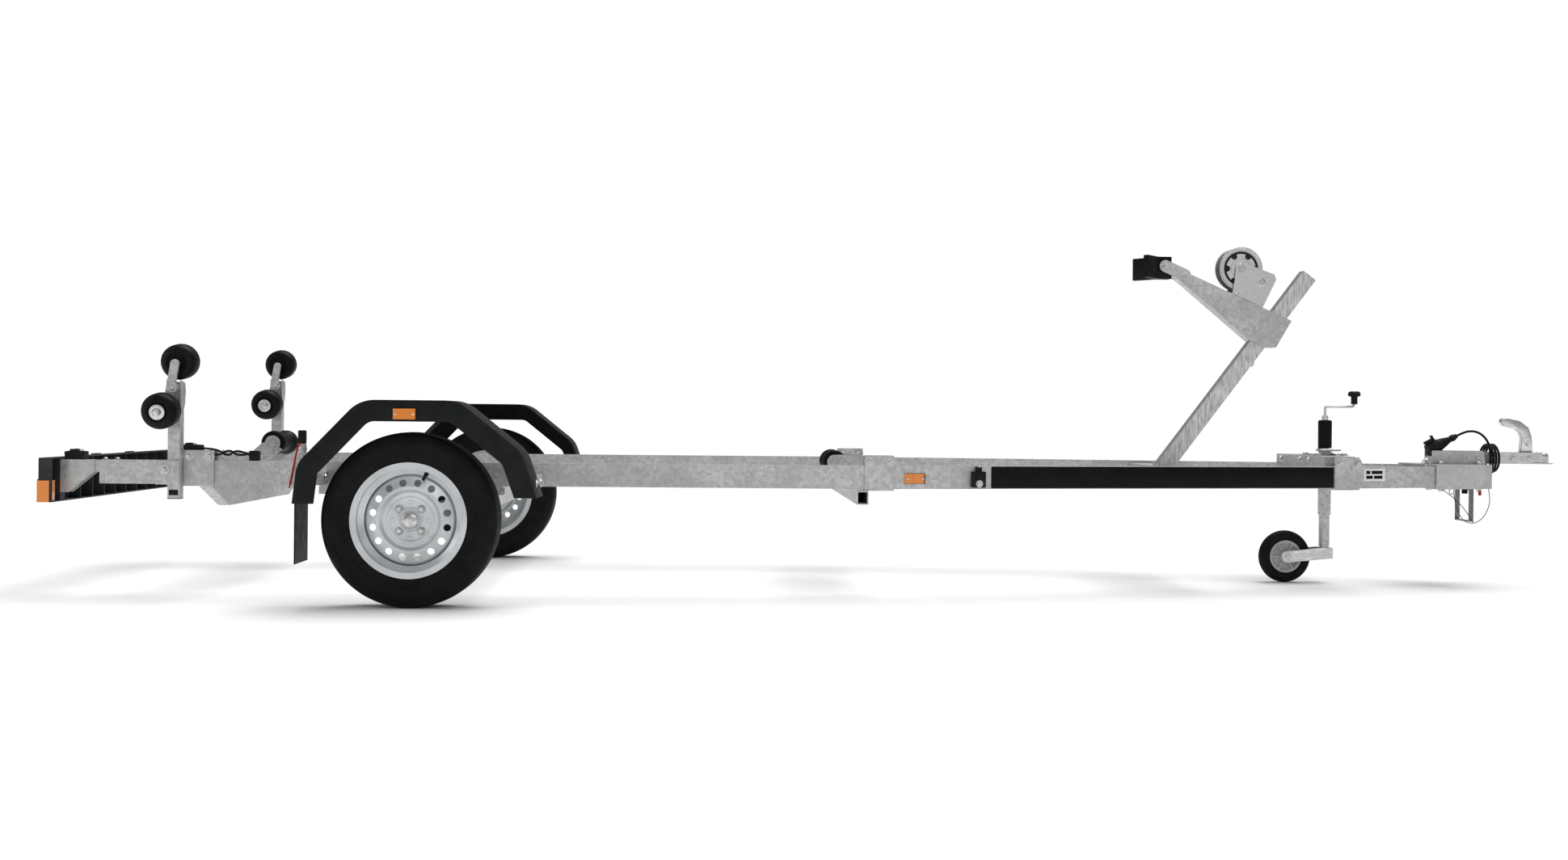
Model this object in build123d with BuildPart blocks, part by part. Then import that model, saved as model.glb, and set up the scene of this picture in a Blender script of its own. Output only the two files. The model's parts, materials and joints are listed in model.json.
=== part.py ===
"""Single-axle roller trailer for a small boat: bolted tube frame, winch post, jockey wheel and light board.

Millimetres. +X points forward to the coupling, +Y to the left, +Z up. The origin is on the ground,
below the middle of the length and width.
"""
from build123d import *
import os
from math import atan2, cos, degrees, hypot, pi, radians, sin, tan

os.makedirs("parts", exist_ok=True)

SIDES = (("right", -1), ("left", 1))
SEAT_GAP = 0.3        # between pieces that seat on each other
RUN_GAP = 0.06        # radial, between a pin and its bore

# ---------------------------------------------------------------- main beams
TUBE_W = 40.0
TUBE_H = 80.0
TUBE_WALL = 3.0
DECK_BASE = 375.0     # underside of the main beams
DECK_TOP = DECK_BASE + TUBE_H
REAR_X = -2573.0      # rear end of the rails
JOINT_X = 65.0        # rails meet the converging beams
NECK_X = 1830.0       # converging beams meet the nose beams
NOSE_X = 2464.0       # front end of the nose beams
RAIL_SPREAD = 600.0   # distance of each centre line from the middle
NECK_SPREAD = 270.0
NOSE_SPREAD = 68.0
SIDE_PATH = ((REAR_X, RAIL_SPREAD), (JOINT_X, RAIL_SPREAD), (NECK_X, NECK_SPREAD), (NOSE_X, NOSE_SPREAD))

# ---------------------------------------------------------------- U saddles that clamp the beams together
SADDLE_HALF = 51.0
SADDLE_PLATE = 6.0
SADDLE_TOP = 490.0
REAR_SADDLE_X = -2242.0
SADDLE_IN = TUBE_W / 2 + SEAT_GAP
SADDLE_OUT = SADDLE_IN + SADDLE_PLATE
SADDLE_FLOOR = DECK_BASE - SADDLE_PLATE

# ---------------------------------------------------------------- wheels and axle
AXLE_X = -1470.0
TRACK = 1850.0
TYRE_R = 280.5
TYRE_W = 155.0
TYRE_BORE_R = 169.0
TREAD_W = 104.0
SHOULDER_R = 264.0
SHOULDER_W = 138.0
BULGE_RISE = 44.0     # widest part of the sidewall, above the rim flange
SHOULDER_DROP = 4.0   # middle of the rounded shoulder, below the tread and inside the shoulder
SHOULDER_INSET = 9.0
FLANGE_R = 185.0      # rim flange
FLANGE_T = 4.0
RIM_WALL = 3.5
SIDEWALL_GAP = 2.0    # tyre's foot above the rim flange
BEAD_HALF = 69.0      # half the width between the tyre's beads
WELL_R = 150.0        # drop centre of the rim
VENT_COUNT = 16
VENT_R = 11.5
VENT_CIRCLE_R = 120.0
DISC_WALL = 4.0
SPINDLE_R = 20.0
SPINDLE_FOOT_R = 28.0
HUB_R = 40.0
HUB_BACK = -60.0      # inner end of the hub, from the wheel's middle plane
HUB_CAP_R = 30.0
HUB_CAP_OUT = 48.0
AXLE_TUBE = 60.0
AXLE_TUBE_X = -1319.0
AXLE_DROP = 30.0      # height of the brackets between rail and axle tube
BRACKET_BACK_X = -1840.0
BRACKET_FRONT_X = -1220.0
BRACKET_W = 50.0
BRACKET_WALL = 4.0
ARM_T = 30.0          # trailing arm
ARM_R = 36.0
ARM_TYRE_GAP = 14.0

# ---------------------------------------------------------------- mudguards
GUARD_OUTER = 1019.0
GUARD_W = 194.0
GUARD_T = 3.0
GUARD_BAND = 68.0     # depth of the outer skirt
GUARD_PATH = ((-1831.0, 333.0), (-1816.0, 460.0), (-1622.0, 663.0), (-1314.0, 663.0), (-1115.0, 503.0),
              (-1063.0, 355.0))
GUARD_RADII = (80.0, 110.0, 110.0, 100.0)
STAY_LOW = 380.0
STAY_HIGH = 420.0
STAY_T = 6.0
FLAP_LOW = 142.0
FLAP_TOP = 374.0
FLAP_T = 4.0
FLAP_W = 160.0
MARKER_L = 70.0
MARKER_H = 34.0
MARKER_T = 6.0
GUARD_MARKER = (-1481.0, 619.0)
BEAM_MARKER = (188.0, 411.0)

# ---------------------------------------------------------------- cross members
REAR_CROSS_X = -2223.0
REAR_CROSS_L = 40.0
REAR_CROSS_LOW = 292.0
REAR_CROSS_FLAT = 400.0
REAR_CROSS_LIP = 17.0     # past the middle line of the rails
CROSS_WALL = 4.0
MID_CROSS_X = 7.0
MID_CROSS_L = 40.0
MID_CROSS_H = 47.0
MID_CROSS_REACH = 640.0
FRONT_CROSS_X = 1822.0
FRONT_CROSS_L = 130.0
FRONT_CROSS_LOW = 447.0
FRONT_CROSS_TOP = 491.0

# ---------------------------------------------------------------- light board
BOARD_REAR_X = -2747.0
BOARD_FRONT_X = -2703.0
BOARD_LOW = 314.0
BOARD_TOP = 462.0
BOARD_HALF = 690.0
BOARD_WALL = 4.0
LENS_OUT = 5.0
AMBER_FRONT_X = -2712.0
AMBER_W = 50.0
LAMP_TOP = 386.0
RED_W = 140.0
RIB_PITCH = 110.0
LIGHT_ARM_T = 3.0
LIGHT_ARM_TIP_X = -2590.0
LIGHT_ARM_TONGUE_X = -2400.0
LIGHT_ARM_TONGUE_H = 40.0
LIGHT_ARM_DEPTH = 110.0
CLAMP_BACK_X = -2689.0
CLAMP_L = 64.0
CLAMP_H = 28.0

# ---------------------------------------------------------------- side rollers
POST_W = 40.0
POST_WALL = 3.0
POST_X = -2314.0
POST_LOW = 326.0
PIVOT_Z = (("right", 700.0), ("left", 729.0))
HOLDER_BACK_X = -2372.0
HOLDER_PLATE = 6.0
ROCKER_PIN_R = 8.0
ROCKER_T = 10.0
ROCKER_W = 28.0
BOSS_R = 14.0
BOSS_L = 9.0
UPPER_OFFSET = (6.0, 81.0)       # upper roller from the pivot, in X and Z
LOWER_OFFSET = (-19.0, -71.0)
ROLLER_R = 60.0
ROLLER_W = 80.0
ROLLER_ROUND = 25.0
ROLLER_TILT = 7.0
ROLLER_GAP = 12.5
WASHER_R = 20.0
WASHER_T = 5.0

# ---------------------------------------------------------------- keel rollers
KEEL_R = 45.0
KEEL_WAIST_R = 34.0
KEEL_L = 200.0
KEEL_END_L = 46.0
KEEL_PIN_R = 10.0
KEEL_END_GAP = 3.0
KEEL_PLATE = 5.0
KEEL_HUB_R = 28.0
KEEL_EDGE = 6.0       # chamfer at the outer ends
KEEL_TAPER = 12.0     # slope from the ends down to the waist
REAR_KEEL = (-2135.0, 506.0)
MID_KEEL = (-51.0, 452.0)

# ---------------------------------------------------------------- winch post, arm and winch
POST_LEAN = 37.0
WINCH_POST_D = 60.0
WINCH_POST_W = 50.0
WINCH_POST_WALL = 4.0
WINCH_FOOT_X = 1226.0
WINCH_CROSS_L = 90.0
WINCH_CROSS_H = 60.0
WINCH_CROSS_TOP = 445.0
WINCH_POST_L = 924.0
WINCH_ARM_T = 4.0
WINCH_ARM = ((1274.0, 1200.0), (1711.0, 1007.0), (1651.0, 904.0), (1600.0, 904.0), (1547.0, 930.0),
             (1250.0, 1178.0))
DRUM_AT = (216.0, 101.0)         # along and above the arm's top edge
DRUM_R = 80.0
DRUM_CORE_R = 26.0
DRUM_HALF = 28.0
DRUM_FLANGE = 3.0
DRUM_PIN_R = 8.0
DRUM_HOLE_R = 12.0
DRUM_HOLE_CIRCLE_R = 54.0
DRUM_HOLE_COUNT = 6
FRAME_PLATE = 4.0
FRAME_GAP = 5.0
FRAME_OUTLINE = ((222.0, 0.0), (352.0, 0.0), (356.0, 118.0), (340.0, 133.0), (216.0, 125.0), (192.0, 101.0),
                 (206.0, 60.0))
PINION_AT = (306.0, 84.0)
PINION_R = 6.0
BOW_BACK_X = 1119.0
BOW_FRONT_X = 1244.0
BOW_SPREAD = 96.0
BOW_NECK_X = 1193.0
BOW_NECK_HALF = 25.0
BOW_NOTCH_X = 1180.0
BOW_WALL = 30.0
BOW_LOW = 1163.0
BOW_TOP = 1248.0
BOW_PLATE = 5.0
BOW_PLATE_H = 46.0
BOW_BOLT = (1218.0, 1211.0)
BOW_PLATE_FRONT_X = 1300.0

# ---------------------------------------------------------------- nose and coupling
NOSE_BOX_X = 2219.0
NOSE_PLATE = 6.0
CHANNEL_BACK_X = 2264.0
CHANNEL_FRONT_X = 2464.0
CHANNEL_W = 70.0
CHANNEL_H = 52.0
CHANNEL_WALL = 4.0
HEAD_BACK_X = 2390.0
HEAD_W = 60.0
CHANNEL_LID_X = 2380.0
PLUG_REST_L = 22.0
PLUG_REST_H = 30.0
HEAD_LOW = 464.0
DOME_X = 2702.0
DOME_R = 34.0
DOME_ROUND = 16.0
FLANGE_OUT = 16.0
HEAD_FLANGE_T = 4.0
SOCKET_R = 25.4
SOCKET_DEPTH = 38.0
LEVER_W = 26.0
LEVER_FOOT_X = 2623.0
LEVER = ((2672.0, 0.0), (2668.0, 60.0), (2655.0, 96.0), (2622.0, 121.0), (2570.0, 135.0),
         (2548.0, 128.0), (2544.0, 113.0), (2558.0, 101.0), (2600.0, 90.0), (2620.0, 76.0), (2628.0, 50.0))
STIRRUP_X = 2407.0
STIRRUP_HALF = 60.0
STIRRUP_W = 18.0
STIRRUP_T = 4.0
STIRRUP_LOW = 241.0

# ---------------------------------------------------------------- plug, cable and safety wire
PLUG_FACE = (2262.0, 0.0)
PLUG_RISE = 27.0
PLUG_R = 24.0
PLUG_L = 46.0
PLUG_TAPER_L = 52.0
PLUG_GLAND_R = 9.0
PLUG_GLAND_L = 28.0
CABLE_D = 9.0
COIL_R = 53.0
COIL_X = 2486.0
COIL_PITCH = 11.0
COIL_TURN_STEPS = 12   # points to a turn
COIL_STEPS = 39       # three and a quarter turns round the coupling's neck
CABLE_ARCH = ((2400.0, -1.0, 583.0), (2426.0, -6.0, 590.0), (2451.0, -15.0, 586.0), (2470.0, -28.0, 570.0),
              (2481.0, -42.0, 545.0), (2483.0, -51.0, 515.0))
CABLE_END = ((2522.0, 20.0, 427.0), (2510.0, 38.0, 421.5), (2491.0, 47.5, 420.0))
CABLE_ENTRY = (48.0, 420.0)
WIRE_D = 3.0
WIRE_ROUTE = ((2466.0, -76.0, 369.0), (2473.0, -77.0, 332.0), (2466.0, -78.0, 294.0), (2446.0, -79.0, 258.0),
              (2414.0, -79.0, 236.0), (2380.0, -78.0, 238.0), (2355.0, -77.0, 262.0), (2341.0, -76.0, 298.0),
              (2332.0, -76.0, 335.0), (2330.0, -76.0, 369.0))

# ---------------------------------------------------------------- jockey wheel
JOCKEY_X = 1856.0
JOCKEY_R = 24.0
JOCKEY_LOW = 262.0
JOCKEY_TOP = 612.0
JOCKEY_CAP_R = 25.0
JOCKEY_CAP_H = 10.0
STEM_R = 20.0
STEM_BORE_R = 17.0
STEM_LOW = 140.0
STEM_L = 340.0
JOCKEY_WHEEL_R = 100.0
JOCKEY_WHEEL_W = 50.0
JOCKEY_RIM_R = 62.0
JOCKEY_EDGE = 5.0         # the rim's edge, in from the tyre's side
JOCKEY_SIDE_RISE = 6.0
JOCKEY_CROWN = 16.0       # rise of the tread's arc
JOCKEY_HUB_R = 22.0
JOCKEY_WEB_HALF = 10.0
JOCKEY_WEB_FOOT_R = 26.0
JOCKEY_WEB_R = 46.0
JOCKEY_SHELF_R = 54.0
JOCKEY_TRAIL = 156.0
FORK_GAP = 6.0
FORK_T = 5.0
FORK_H = 40.0
FORK_LOW = 95.0
FORK_BLOCK_L = 44.0
FORK_PIN_L = 70.0
FORK_EYE_R = 22.0
JOCKEY_PIN_R = 8.0
CRANK_R = 7.0
CRANK_ROD_R = 5.0
CRANK_THROW = 114.0
CRANK_Z = 679.0
KNOB_R = 23.0
KNOB_H = 22.0
KNOB_NECK_R = 12.0
KNOB_TOP = 739.0


def keep(piece, name):
    """Name a finished piece and write it."""
    piece.label = name
    export_step(piece, f"parts/{name}.step")


def offset_path(path, distance, cut):
    """An open path moved sideways, mitred at its corners and cut along one direction at its ends."""
    normals = []
    for (x0, y0), (x1, y1) in zip(path, path[1:]):
        length = hypot(x1 - x0, y1 - y0)
        normals.append(((y0 - y1) / length, (x1 - x0) / length))
    moved = []
    for index, (x, y) in enumerate(path):
        if index in (0, len(path) - 1):
            along, normal = cut, normals[min(index, len(normals) - 1)]
        else:
            normal, after = normals[index - 1], normals[index]
            size = hypot(normal[0] + after[0], normal[1] + after[1])
            along = ((normal[0] + after[0]) / size, (normal[1] + after[1]) / size)
        step = distance / (along[0] * normal[0] + along[1] * normal[1])
        moved.append((x + along[0] * step, y + along[1] * step))
    return moved


def at_x(path, x):
    """Second coordinate of a path where its first one is x."""
    for (x0, y0), (x1, y1) in zip(path, path[1:]):
        if x0 <= x <= x1:
            return y0 + (y1 - y0) * (x - x0) / (x1 - x0)
    raise ValueError("outside the path")


def beam_edge(distance):
    """Edge of the left-hand beams in plan: plus is outboard."""
    return offset_path(SIDE_PATH, distance, (0.0, 1.0))


def stage_outline(index, half, sign):
    """Plan outline of one beam between two joints."""
    outer, inner = beam_edge(half), beam_edge(-half)
    corners = (outer[index], outer[index + 1], inner[index + 1], inner[index])
    return [(x, sign * y) for x, y in corners]


def strip_outline(x0, x1, d0, d1):
    """Plan outline of a plate that follows the left-hand beams from x0 to x1."""
    edges = []
    for distance in (d0, d1):
        edge = beam_edge(distance)
        inner = [point for point in edge if x0 < point[0] < x1]
        edges.append([(x0, at_x(edge, x0)), *inner, (x1, at_x(edge, x1))])
    return edges[0] + edges[1][::-1]


def across_outline(x0, x1, distance):
    """Plan outline of a cross member whose ends follow both beams."""
    edge = beam_edge(distance)
    inner = [point for point in edge if x0 < point[0] < x1]
    left = [(x0, at_x(edge, x0)), *inner, (x1, at_x(edge, x1))]
    return left + [(x, -y) for x, y in left[::-1]]


def bend_radii(points):
    """Largest tangent arcs that the runs of a cord allow."""
    radii = []
    for before, here, after in zip(points, points[1:], points[2:]):
        into, out = Vector(*here) - Vector(*before), Vector(*after) - Vector(*here)
        turn = radians(into.get_angle(out))
        radii.append(0.45 * min(into.length, out.length) / tan(turn / 2))
    return radii


def cord_tube(points, diameter, name):
    """A round tube along straight runs joined by tangent arcs."""
    radii = bend_radii(points)
    with BuildPart() as tube:
        with BuildLine() as route:
            FilletPolyline(*points, radius=radii)
        with BuildSketch(Plane(origin=route.line @ 0, z_dir=route.line % 0)):
            Circle(diameter / 2)
        sweep(path=route.line)
    length = route.wire().length
    fill = tube.part.volume / (length * pi * diameter**2 / 4)
    print(name, "length", round(length), "radii", [round(radius) for radius in radii], "volume ratio",
          round(fill, 3))
    keep(tube.part, name)


def side_plane(y):
    """A plane seen from the right, with X along and Z up, that extrudes towards +Y."""
    return Plane(origin=(0, y, 0), x_dir=(1, 0, 0), z_dir=(0, -1, 0))


# ================================================================ frame
for side, sign in SIDES:
    for index, stage in enumerate(("rail", "beam", "nose_beam")):
        with BuildPart() as bar:
            with BuildSketch(Plane.XY.offset(DECK_BASE)):
                Polygon(*stage_outline(index, TUBE_W / 2, sign), align=None)
            extrude(amount=TUBE_H)
            with BuildSketch(Plane.XY.offset(DECK_BASE + TUBE_WALL)):
                Polygon(*stage_outline(index, TUBE_W / 2 - TUBE_WALL, sign), align=None)
            extrude(amount=TUBE_H - 2 * TUBE_WALL, mode=Mode.SUBTRACT)
        keep(bar.part, f"{stage}_{side}")

with BuildPart() as saddles:
    for centre in (REAR_SADDLE_X, JOINT_X, NECK_X):
        reach = (centre - SADDLE_HALF, centre + SADDLE_HALF)
        with BuildSketch(Plane.XY.offset(SADDLE_FLOOR)):
            Polygon(*strip_outline(*reach, -SADDLE_OUT, SADDLE_OUT), align=None)
        extrude(amount=SADDLE_PLATE)
        with BuildSketch(Plane.XY.offset(SADDLE_FLOOR)):
            Polygon(*strip_outline(*reach, -SADDLE_OUT, -SADDLE_IN), align=None)
            Polygon(*strip_outline(*reach, SADDLE_IN, SADDLE_OUT), align=None)
        extrude(amount=SADDLE_TOP - SADDLE_FLOOR)
    mirror(about=Plane.XZ)
keep(saddles.part, "saddles")

# The rear cross member is a deep box under the saddles: flat on top, its bottom sloping up to the rails.
REAR_CROSS_REACH = RAIL_SPREAD + REAR_CROSS_LIP
with BuildPart() as crossbeam_rear:
    belly = ((-REAR_CROSS_REACH, SADDLE_FLOOR), (-REAR_CROSS_FLAT, REAR_CROSS_LOW),
             (REAR_CROSS_FLAT, REAR_CROSS_LOW), (REAR_CROSS_REACH, SADDLE_FLOOR))
    with BuildSketch(Plane.YZ.offset(REAR_CROSS_X - REAR_CROSS_L / 2)):
        Polygon(*belly, align=None)
    extrude(amount=REAR_CROSS_L)
    with BuildSketch(Plane.YZ.offset(REAR_CROSS_X - REAR_CROSS_L / 2 + CROSS_WALL)):
        Polygon(*belly, align=None)
        offset(amount=-CROSS_WALL, kind=Kind.INTERSECTION)
    extrude(amount=REAR_CROSS_L - 2 * CROSS_WALL, mode=Mode.SUBTRACT)
keep(crossbeam_rear.part, "crossbeam_rear")

with BuildPart() as crossbeam_mid:
    with BuildSketch(Plane.XZ.offset(-MID_CROSS_REACH)):
        with Locations((MID_CROSS_X, SADDLE_FLOOR - MID_CROSS_H / 2)):
            Rectangle(MID_CROSS_L, MID_CROSS_H)
            Rectangle(MID_CROSS_L - 2 * CROSS_WALL, MID_CROSS_H - 2 * CROSS_WALL, mode=Mode.SUBTRACT)
    extrude(amount=2 * MID_CROSS_REACH)
keep(crossbeam_mid.part, "crossbeam_mid")

with BuildPart() as crossbeam_front:
    front_reach = (FRONT_CROSS_X - FRONT_CROSS_L / 2, FRONT_CROSS_X + FRONT_CROSS_L / 2)
    with BuildSketch(Plane.XY.offset(FRONT_CROSS_LOW)):
        Polygon(*across_outline(*front_reach, -SADDLE_OUT - SEAT_GAP), align=None)
    extrude(amount=FRONT_CROSS_TOP - FRONT_CROSS_LOW)
    pocket = (front_reach[0] + CROSS_WALL, front_reach[1] - CROSS_WALL)
    with BuildSketch(Plane.XY.offset(FRONT_CROSS_LOW)):
        Polygon(*across_outline(*pocket, -SADDLE_OUT - SEAT_GAP - CROSS_WALL), align=None)
    extrude(amount=FRONT_CROSS_TOP - FRONT_CROSS_LOW - CROSS_WALL, mode=Mode.SUBTRACT)
    with Locations((JOCKEY_X, 0, FRONT_CROSS_TOP)):
        Cylinder(JOCKEY_R + SEAT_GAP, 4 * CROSS_WALL, mode=Mode.SUBTRACT)
keep(crossbeam_front.part, "crossbeam_front")

with BuildPart() as crossbeam_winch:
    winch_reach = (WINCH_FOOT_X - WINCH_CROSS_L / 2, WINCH_FOOT_X + WINCH_CROSS_L / 2)
    with BuildSketch(Plane.XY.offset(WINCH_CROSS_TOP - WINCH_CROSS_H)):
        Polygon(*across_outline(*winch_reach, -TUBE_W / 2 - SEAT_GAP), align=None)
    extrude(amount=WINCH_CROSS_H)
    with BuildSketch(Plane.XY.offset(WINCH_CROSS_TOP - WINCH_CROSS_H + CROSS_WALL)):
        with Locations((WINCH_FOOT_X, 0)):
            Rectangle(WINCH_CROSS_L - 2 * CROSS_WALL, 2 * RAIL_SPREAD)
    extrude(amount=WINCH_CROSS_H - 2 * CROSS_WALL, mode=Mode.SUBTRACT)
keep(crossbeam_winch.part, "crossbeam_winch")

# ================================================================ axle
AXLE_TUBE_TOP = DECK_BASE - AXLE_DROP
AXLE_TUBE_Z = AXLE_TUBE_TOP - AXLE_TUBE / 2
ARM_OUTER = TRACK / 2 - TYRE_W / 2 - ARM_TYRE_GAP
ARM_INNER = ARM_OUTER - ARM_T
HUB_END = TRACK / 2 + HUB_BACK
SPINDLE_END = TRACK / 2 + DISC_WALL * 3

with BuildPart() as axle:
    with BuildSketch(Plane.XZ.offset(-ARM_OUTER)):
        with Locations((AXLE_TUBE_X, AXLE_TUBE_Z)):
            Rectangle(AXLE_TUBE, AXLE_TUBE)
    extrude(amount=2 * ARM_OUTER)
    with BuildSketch(Plane.XZ.offset(-ARM_INNER)):
        with Locations((AXLE_TUBE_X, AXLE_TUBE_Z)):
            Rectangle(AXLE_TUBE - 2 * CROSS_WALL, AXLE_TUBE - 2 * CROSS_WALL)
    extrude(amount=2 * ARM_INNER, mode=Mode.SUBTRACT)
    with BuildSketch(side_plane(-ARM_INNER)):
        with Locations((AXLE_X, TYRE_R), (AXLE_TUBE_X, AXLE_TUBE_Z)):
            Circle(ARM_R)
        make_hull()
    extrude(amount=ARM_T)
    with BuildSketch(side_plane(-ARM_OUTER)):
        with Locations((AXLE_X, TYRE_R)):
            Circle(SPINDLE_FOOT_R)
    extrude(amount=HUB_END - ARM_OUTER - HUB_CAP_R / 10)
    with BuildSketch(side_plane(-ARM_OUTER)):
        with Locations((AXLE_X, TYRE_R)):
            Circle(SPINDLE_R)
    extrude(amount=SPINDLE_END - ARM_OUTER)
    mirror(about=Plane.XZ)
keep(axle.part, "axle")

with BuildPart() as axle_brackets:
    bracket_l = BRACKET_FRONT_X - BRACKET_BACK_X
    with BuildSketch(Plane.YZ.offset(BRACKET_BACK_X)):
        with Locations((RAIL_SPREAD, DECK_BASE - AXLE_DROP / 2)):
            Rectangle(BRACKET_W, AXLE_DROP)
        with Locations((RAIL_SPREAD, DECK_BASE - AXLE_DROP / 2 - BRACKET_WALL)):
            Rectangle(BRACKET_W - 2 * BRACKET_WALL, AXLE_DROP, mode=Mode.SUBTRACT)
    extrude(amount=bracket_l)
    mirror(about=Plane.XZ)
keep(axle_brackets.part, "axle_brackets")

# ================================================================ road wheels
# The wheel sections are (radius, axial) points, axial plus is outboard.
BEAD_OUT = BEAD_HALF + SEAT_GAP
SEAT_R = TYRE_BORE_R - SEAT_GAP
RIM_SECTION = ((FLANGE_R, BEAD_OUT), (SEAT_R, BEAD_OUT), (SEAT_R, 45.0), (WELL_R, 33.0), (WELL_R, 5.0),
               (SEAT_R, -12.0), (SEAT_R, -BEAD_OUT), (FLANGE_R, -BEAD_OUT), (FLANGE_R, -BEAD_OUT - FLANGE_T),
               (SEAT_R - RIM_WALL, -BEAD_OUT - FLANGE_T), (SEAT_R - RIM_WALL, -14.0),
               (WELL_R - RIM_WALL, 3.5),
               (WELL_R - RIM_WALL, 35.0), (SEAT_R - RIM_WALL, 47.0), (SEAT_R - RIM_WALL, BEAD_OUT + FLANGE_T),
               (FLANGE_R, BEAD_OUT + FLANGE_T))
DISC_FACE = ((WELL_R - RIM_WALL + 1.0, 12.0), (WELL_R - 6.0, 28.0), (138.0, 35.0), (108.0, 45.0),
             (98.0, 45.0),
             (88.0, 35.0), (60.0, 34.0), (HUB_CAP_R, 34.0))
HUB_SECTION = ((SPINDLE_R + RUN_GAP, HUB_BACK), (HUB_R, HUB_BACK), (HUB_R, 10.0), (62.0, 16.0), (62.0, 31.0),
               (HUB_CAP_R, 31.0), (HUB_CAP_R, HUB_CAP_OUT - 8.0), (HUB_CAP_R - 6.0, HUB_CAP_OUT),
               (0.0, HUB_CAP_OUT), (0.0, 18.0), (SPINDLE_R + RUN_GAP, 18.0))


def wheel_plane(sign):
    """Sketch plane through the wheel's axis: first axis up, second axis outboard."""
    return Plane(origin=(AXLE_X, sign * TRACK / 2, TYRE_R), x_dir=(0, 0, 1), z_dir=(-sign, 0, 0))


for side, sign in SIDES:
    spin = Axis((AXLE_X, sign * TRACK / 2, TYRE_R), (0, 1, 0))
    with BuildPart() as tyre:
        with BuildSketch(wheel_plane(sign)):
            with BuildLine():
                foot = (FLANGE_R + SIDEWALL_GAP, BEAD_HALF)
                bulge = (FLANGE_R + BULGE_RISE, TYRE_W / 2)
                shoulder = (SHOULDER_R, SHOULDER_W / 2)
                corner = (TYRE_R - SHOULDER_DROP, SHOULDER_W / 2 - SHOULDER_INSET)
                tread = (TYRE_R, TREAD_W / 2)
                Polyline((TYRE_BORE_R, -BEAD_HALF), (TYRE_BORE_R, BEAD_HALF), foot)
                ThreePointArc(foot, bulge, shoulder)
                ThreePointArc(shoulder, corner, tread)
                Line(tread, (tread[0], -tread[1]))
                ThreePointArc((tread[0], -tread[1]), (corner[0], -corner[1]), (shoulder[0], -shoulder[1]))
                ThreePointArc((shoulder[0], -shoulder[1]), (bulge[0], -bulge[1]), (foot[0], -foot[1]))
                Line((foot[0], -foot[1]), (TYRE_BORE_R, -BEAD_HALF))
            make_face()
        revolve(axis=spin)
    keep(tyre.part, f"tyre_{side}")

    with BuildPart() as wheel:
        with BuildSketch(wheel_plane(sign)):
            Polygon(*RIM_SECTION, align=None)
        revolve(axis=spin)
        disc_back = [(radius, axial - DISC_WALL) for radius, axial in DISC_FACE]
        with BuildSketch(wheel_plane(sign)):
            Polygon(*DISC_FACE, *disc_back[::-1], align=None)
            Polygon(*HUB_SECTION, align=None)
        revolve(axis=spin)
        with Locations(Location((AXLE_X, sign * TRACK / 2, TYRE_R), (90, 0, 0))):
            with PolarLocations(VENT_CIRCLE_R, VENT_COUNT, start_angle=180 / VENT_COUNT):
                Cylinder(VENT_R, 2 * HUB_CAP_OUT + 2 * DISC_WALL, mode=Mode.SUBTRACT)
    keep(wheel.part, f"wheel_{side}")

# ================================================================ mudguards
GUARD_ENDS = (1.0, 0.0)


def guard_face(inner, outer):
    """Face between two depths of the mudguard's outline, with rounded corners."""
    rims = []
    with BuildLine() as edge:
        for depth in (inner, outer):
            path = offset_path(GUARD_PATH, -depth, GUARD_ENDS)
            FilletPolyline(*path, radius=[max(radius - depth, GUARD_T) for radius in GUARD_RADII])
            rims.append(path)
        Line(rims[0][0], rims[1][0])
        Line(rims[0][-1], rims[1][-1])
    return make_face(edge.edges(), mode=Mode.PRIVATE)


for side, sign in SIDES:
    with BuildPart() as mudguard:
        with BuildSketch(side_plane(sign * GUARD_OUTER)):
            add(guard_face(0.0, GUARD_T))
        extrude(amount=sign * GUARD_W)
        with BuildSketch(side_plane(sign * GUARD_OUTER)):
            add(guard_face(0.0, GUARD_BAND))
        extrude(amount=sign * GUARD_T)
    keep(mudguard.part, f"mudguard_{side}")

with BuildPart() as mudguard_stays:
    for leg in (GUARD_PATH[:2], GUARD_PATH[:-3:-1]):
        toward = 1.0 if leg[0][0] < AXLE_X else -1.0
        lean = (leg[1][0] - leg[0][0]) / (leg[1][1] - leg[0][1])
        near = toward * (GUARD_T + SEAT_GAP)
        far = near + toward * STAY_T
        low_x = leg[0][0] + lean * (STAY_LOW - leg[0][1])
        high_x = leg[0][0] + lean * (STAY_HIGH - leg[0][1])
        with BuildSketch(Plane.XZ.offset(-RAIL_SPREAD - TUBE_W / 2)):
            Polygon((low_x + near, STAY_LOW), (high_x + near, STAY_HIGH), (high_x + far, STAY_HIGH),
                    (low_x + far, STAY_LOW), align=None)
        extrude(amount=-(GUARD_OUTER - GUARD_T - SEAT_GAP - RAIL_SPREAD - TUBE_W / 2))
    mirror(about=Plane.XZ)
keep(mudguard_stays.part, "mudguard_stays")

FLAP_LEG_LEAN = (GUARD_PATH[1][0] - GUARD_PATH[0][0]) / (GUARD_PATH[1][1] - GUARD_PATH[0][1])
FLAP_X = GUARD_PATH[0][0] + FLAP_LEG_LEAN * (FLAP_TOP - GUARD_PATH[0][1]) + GUARD_T + SEAT_GAP
with BuildPart() as mudflaps:
    with Locations((FLAP_X, GUARD_OUTER - GUARD_T - SEAT_GAP, FLAP_LOW)):
        Box(FLAP_T, FLAP_W, FLAP_TOP - FLAP_LOW, align=(Align.MIN, Align.MAX, Align.MIN))
    mirror(about=Plane.XZ)
keep(mudflaps.part, "mudflaps")

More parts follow.
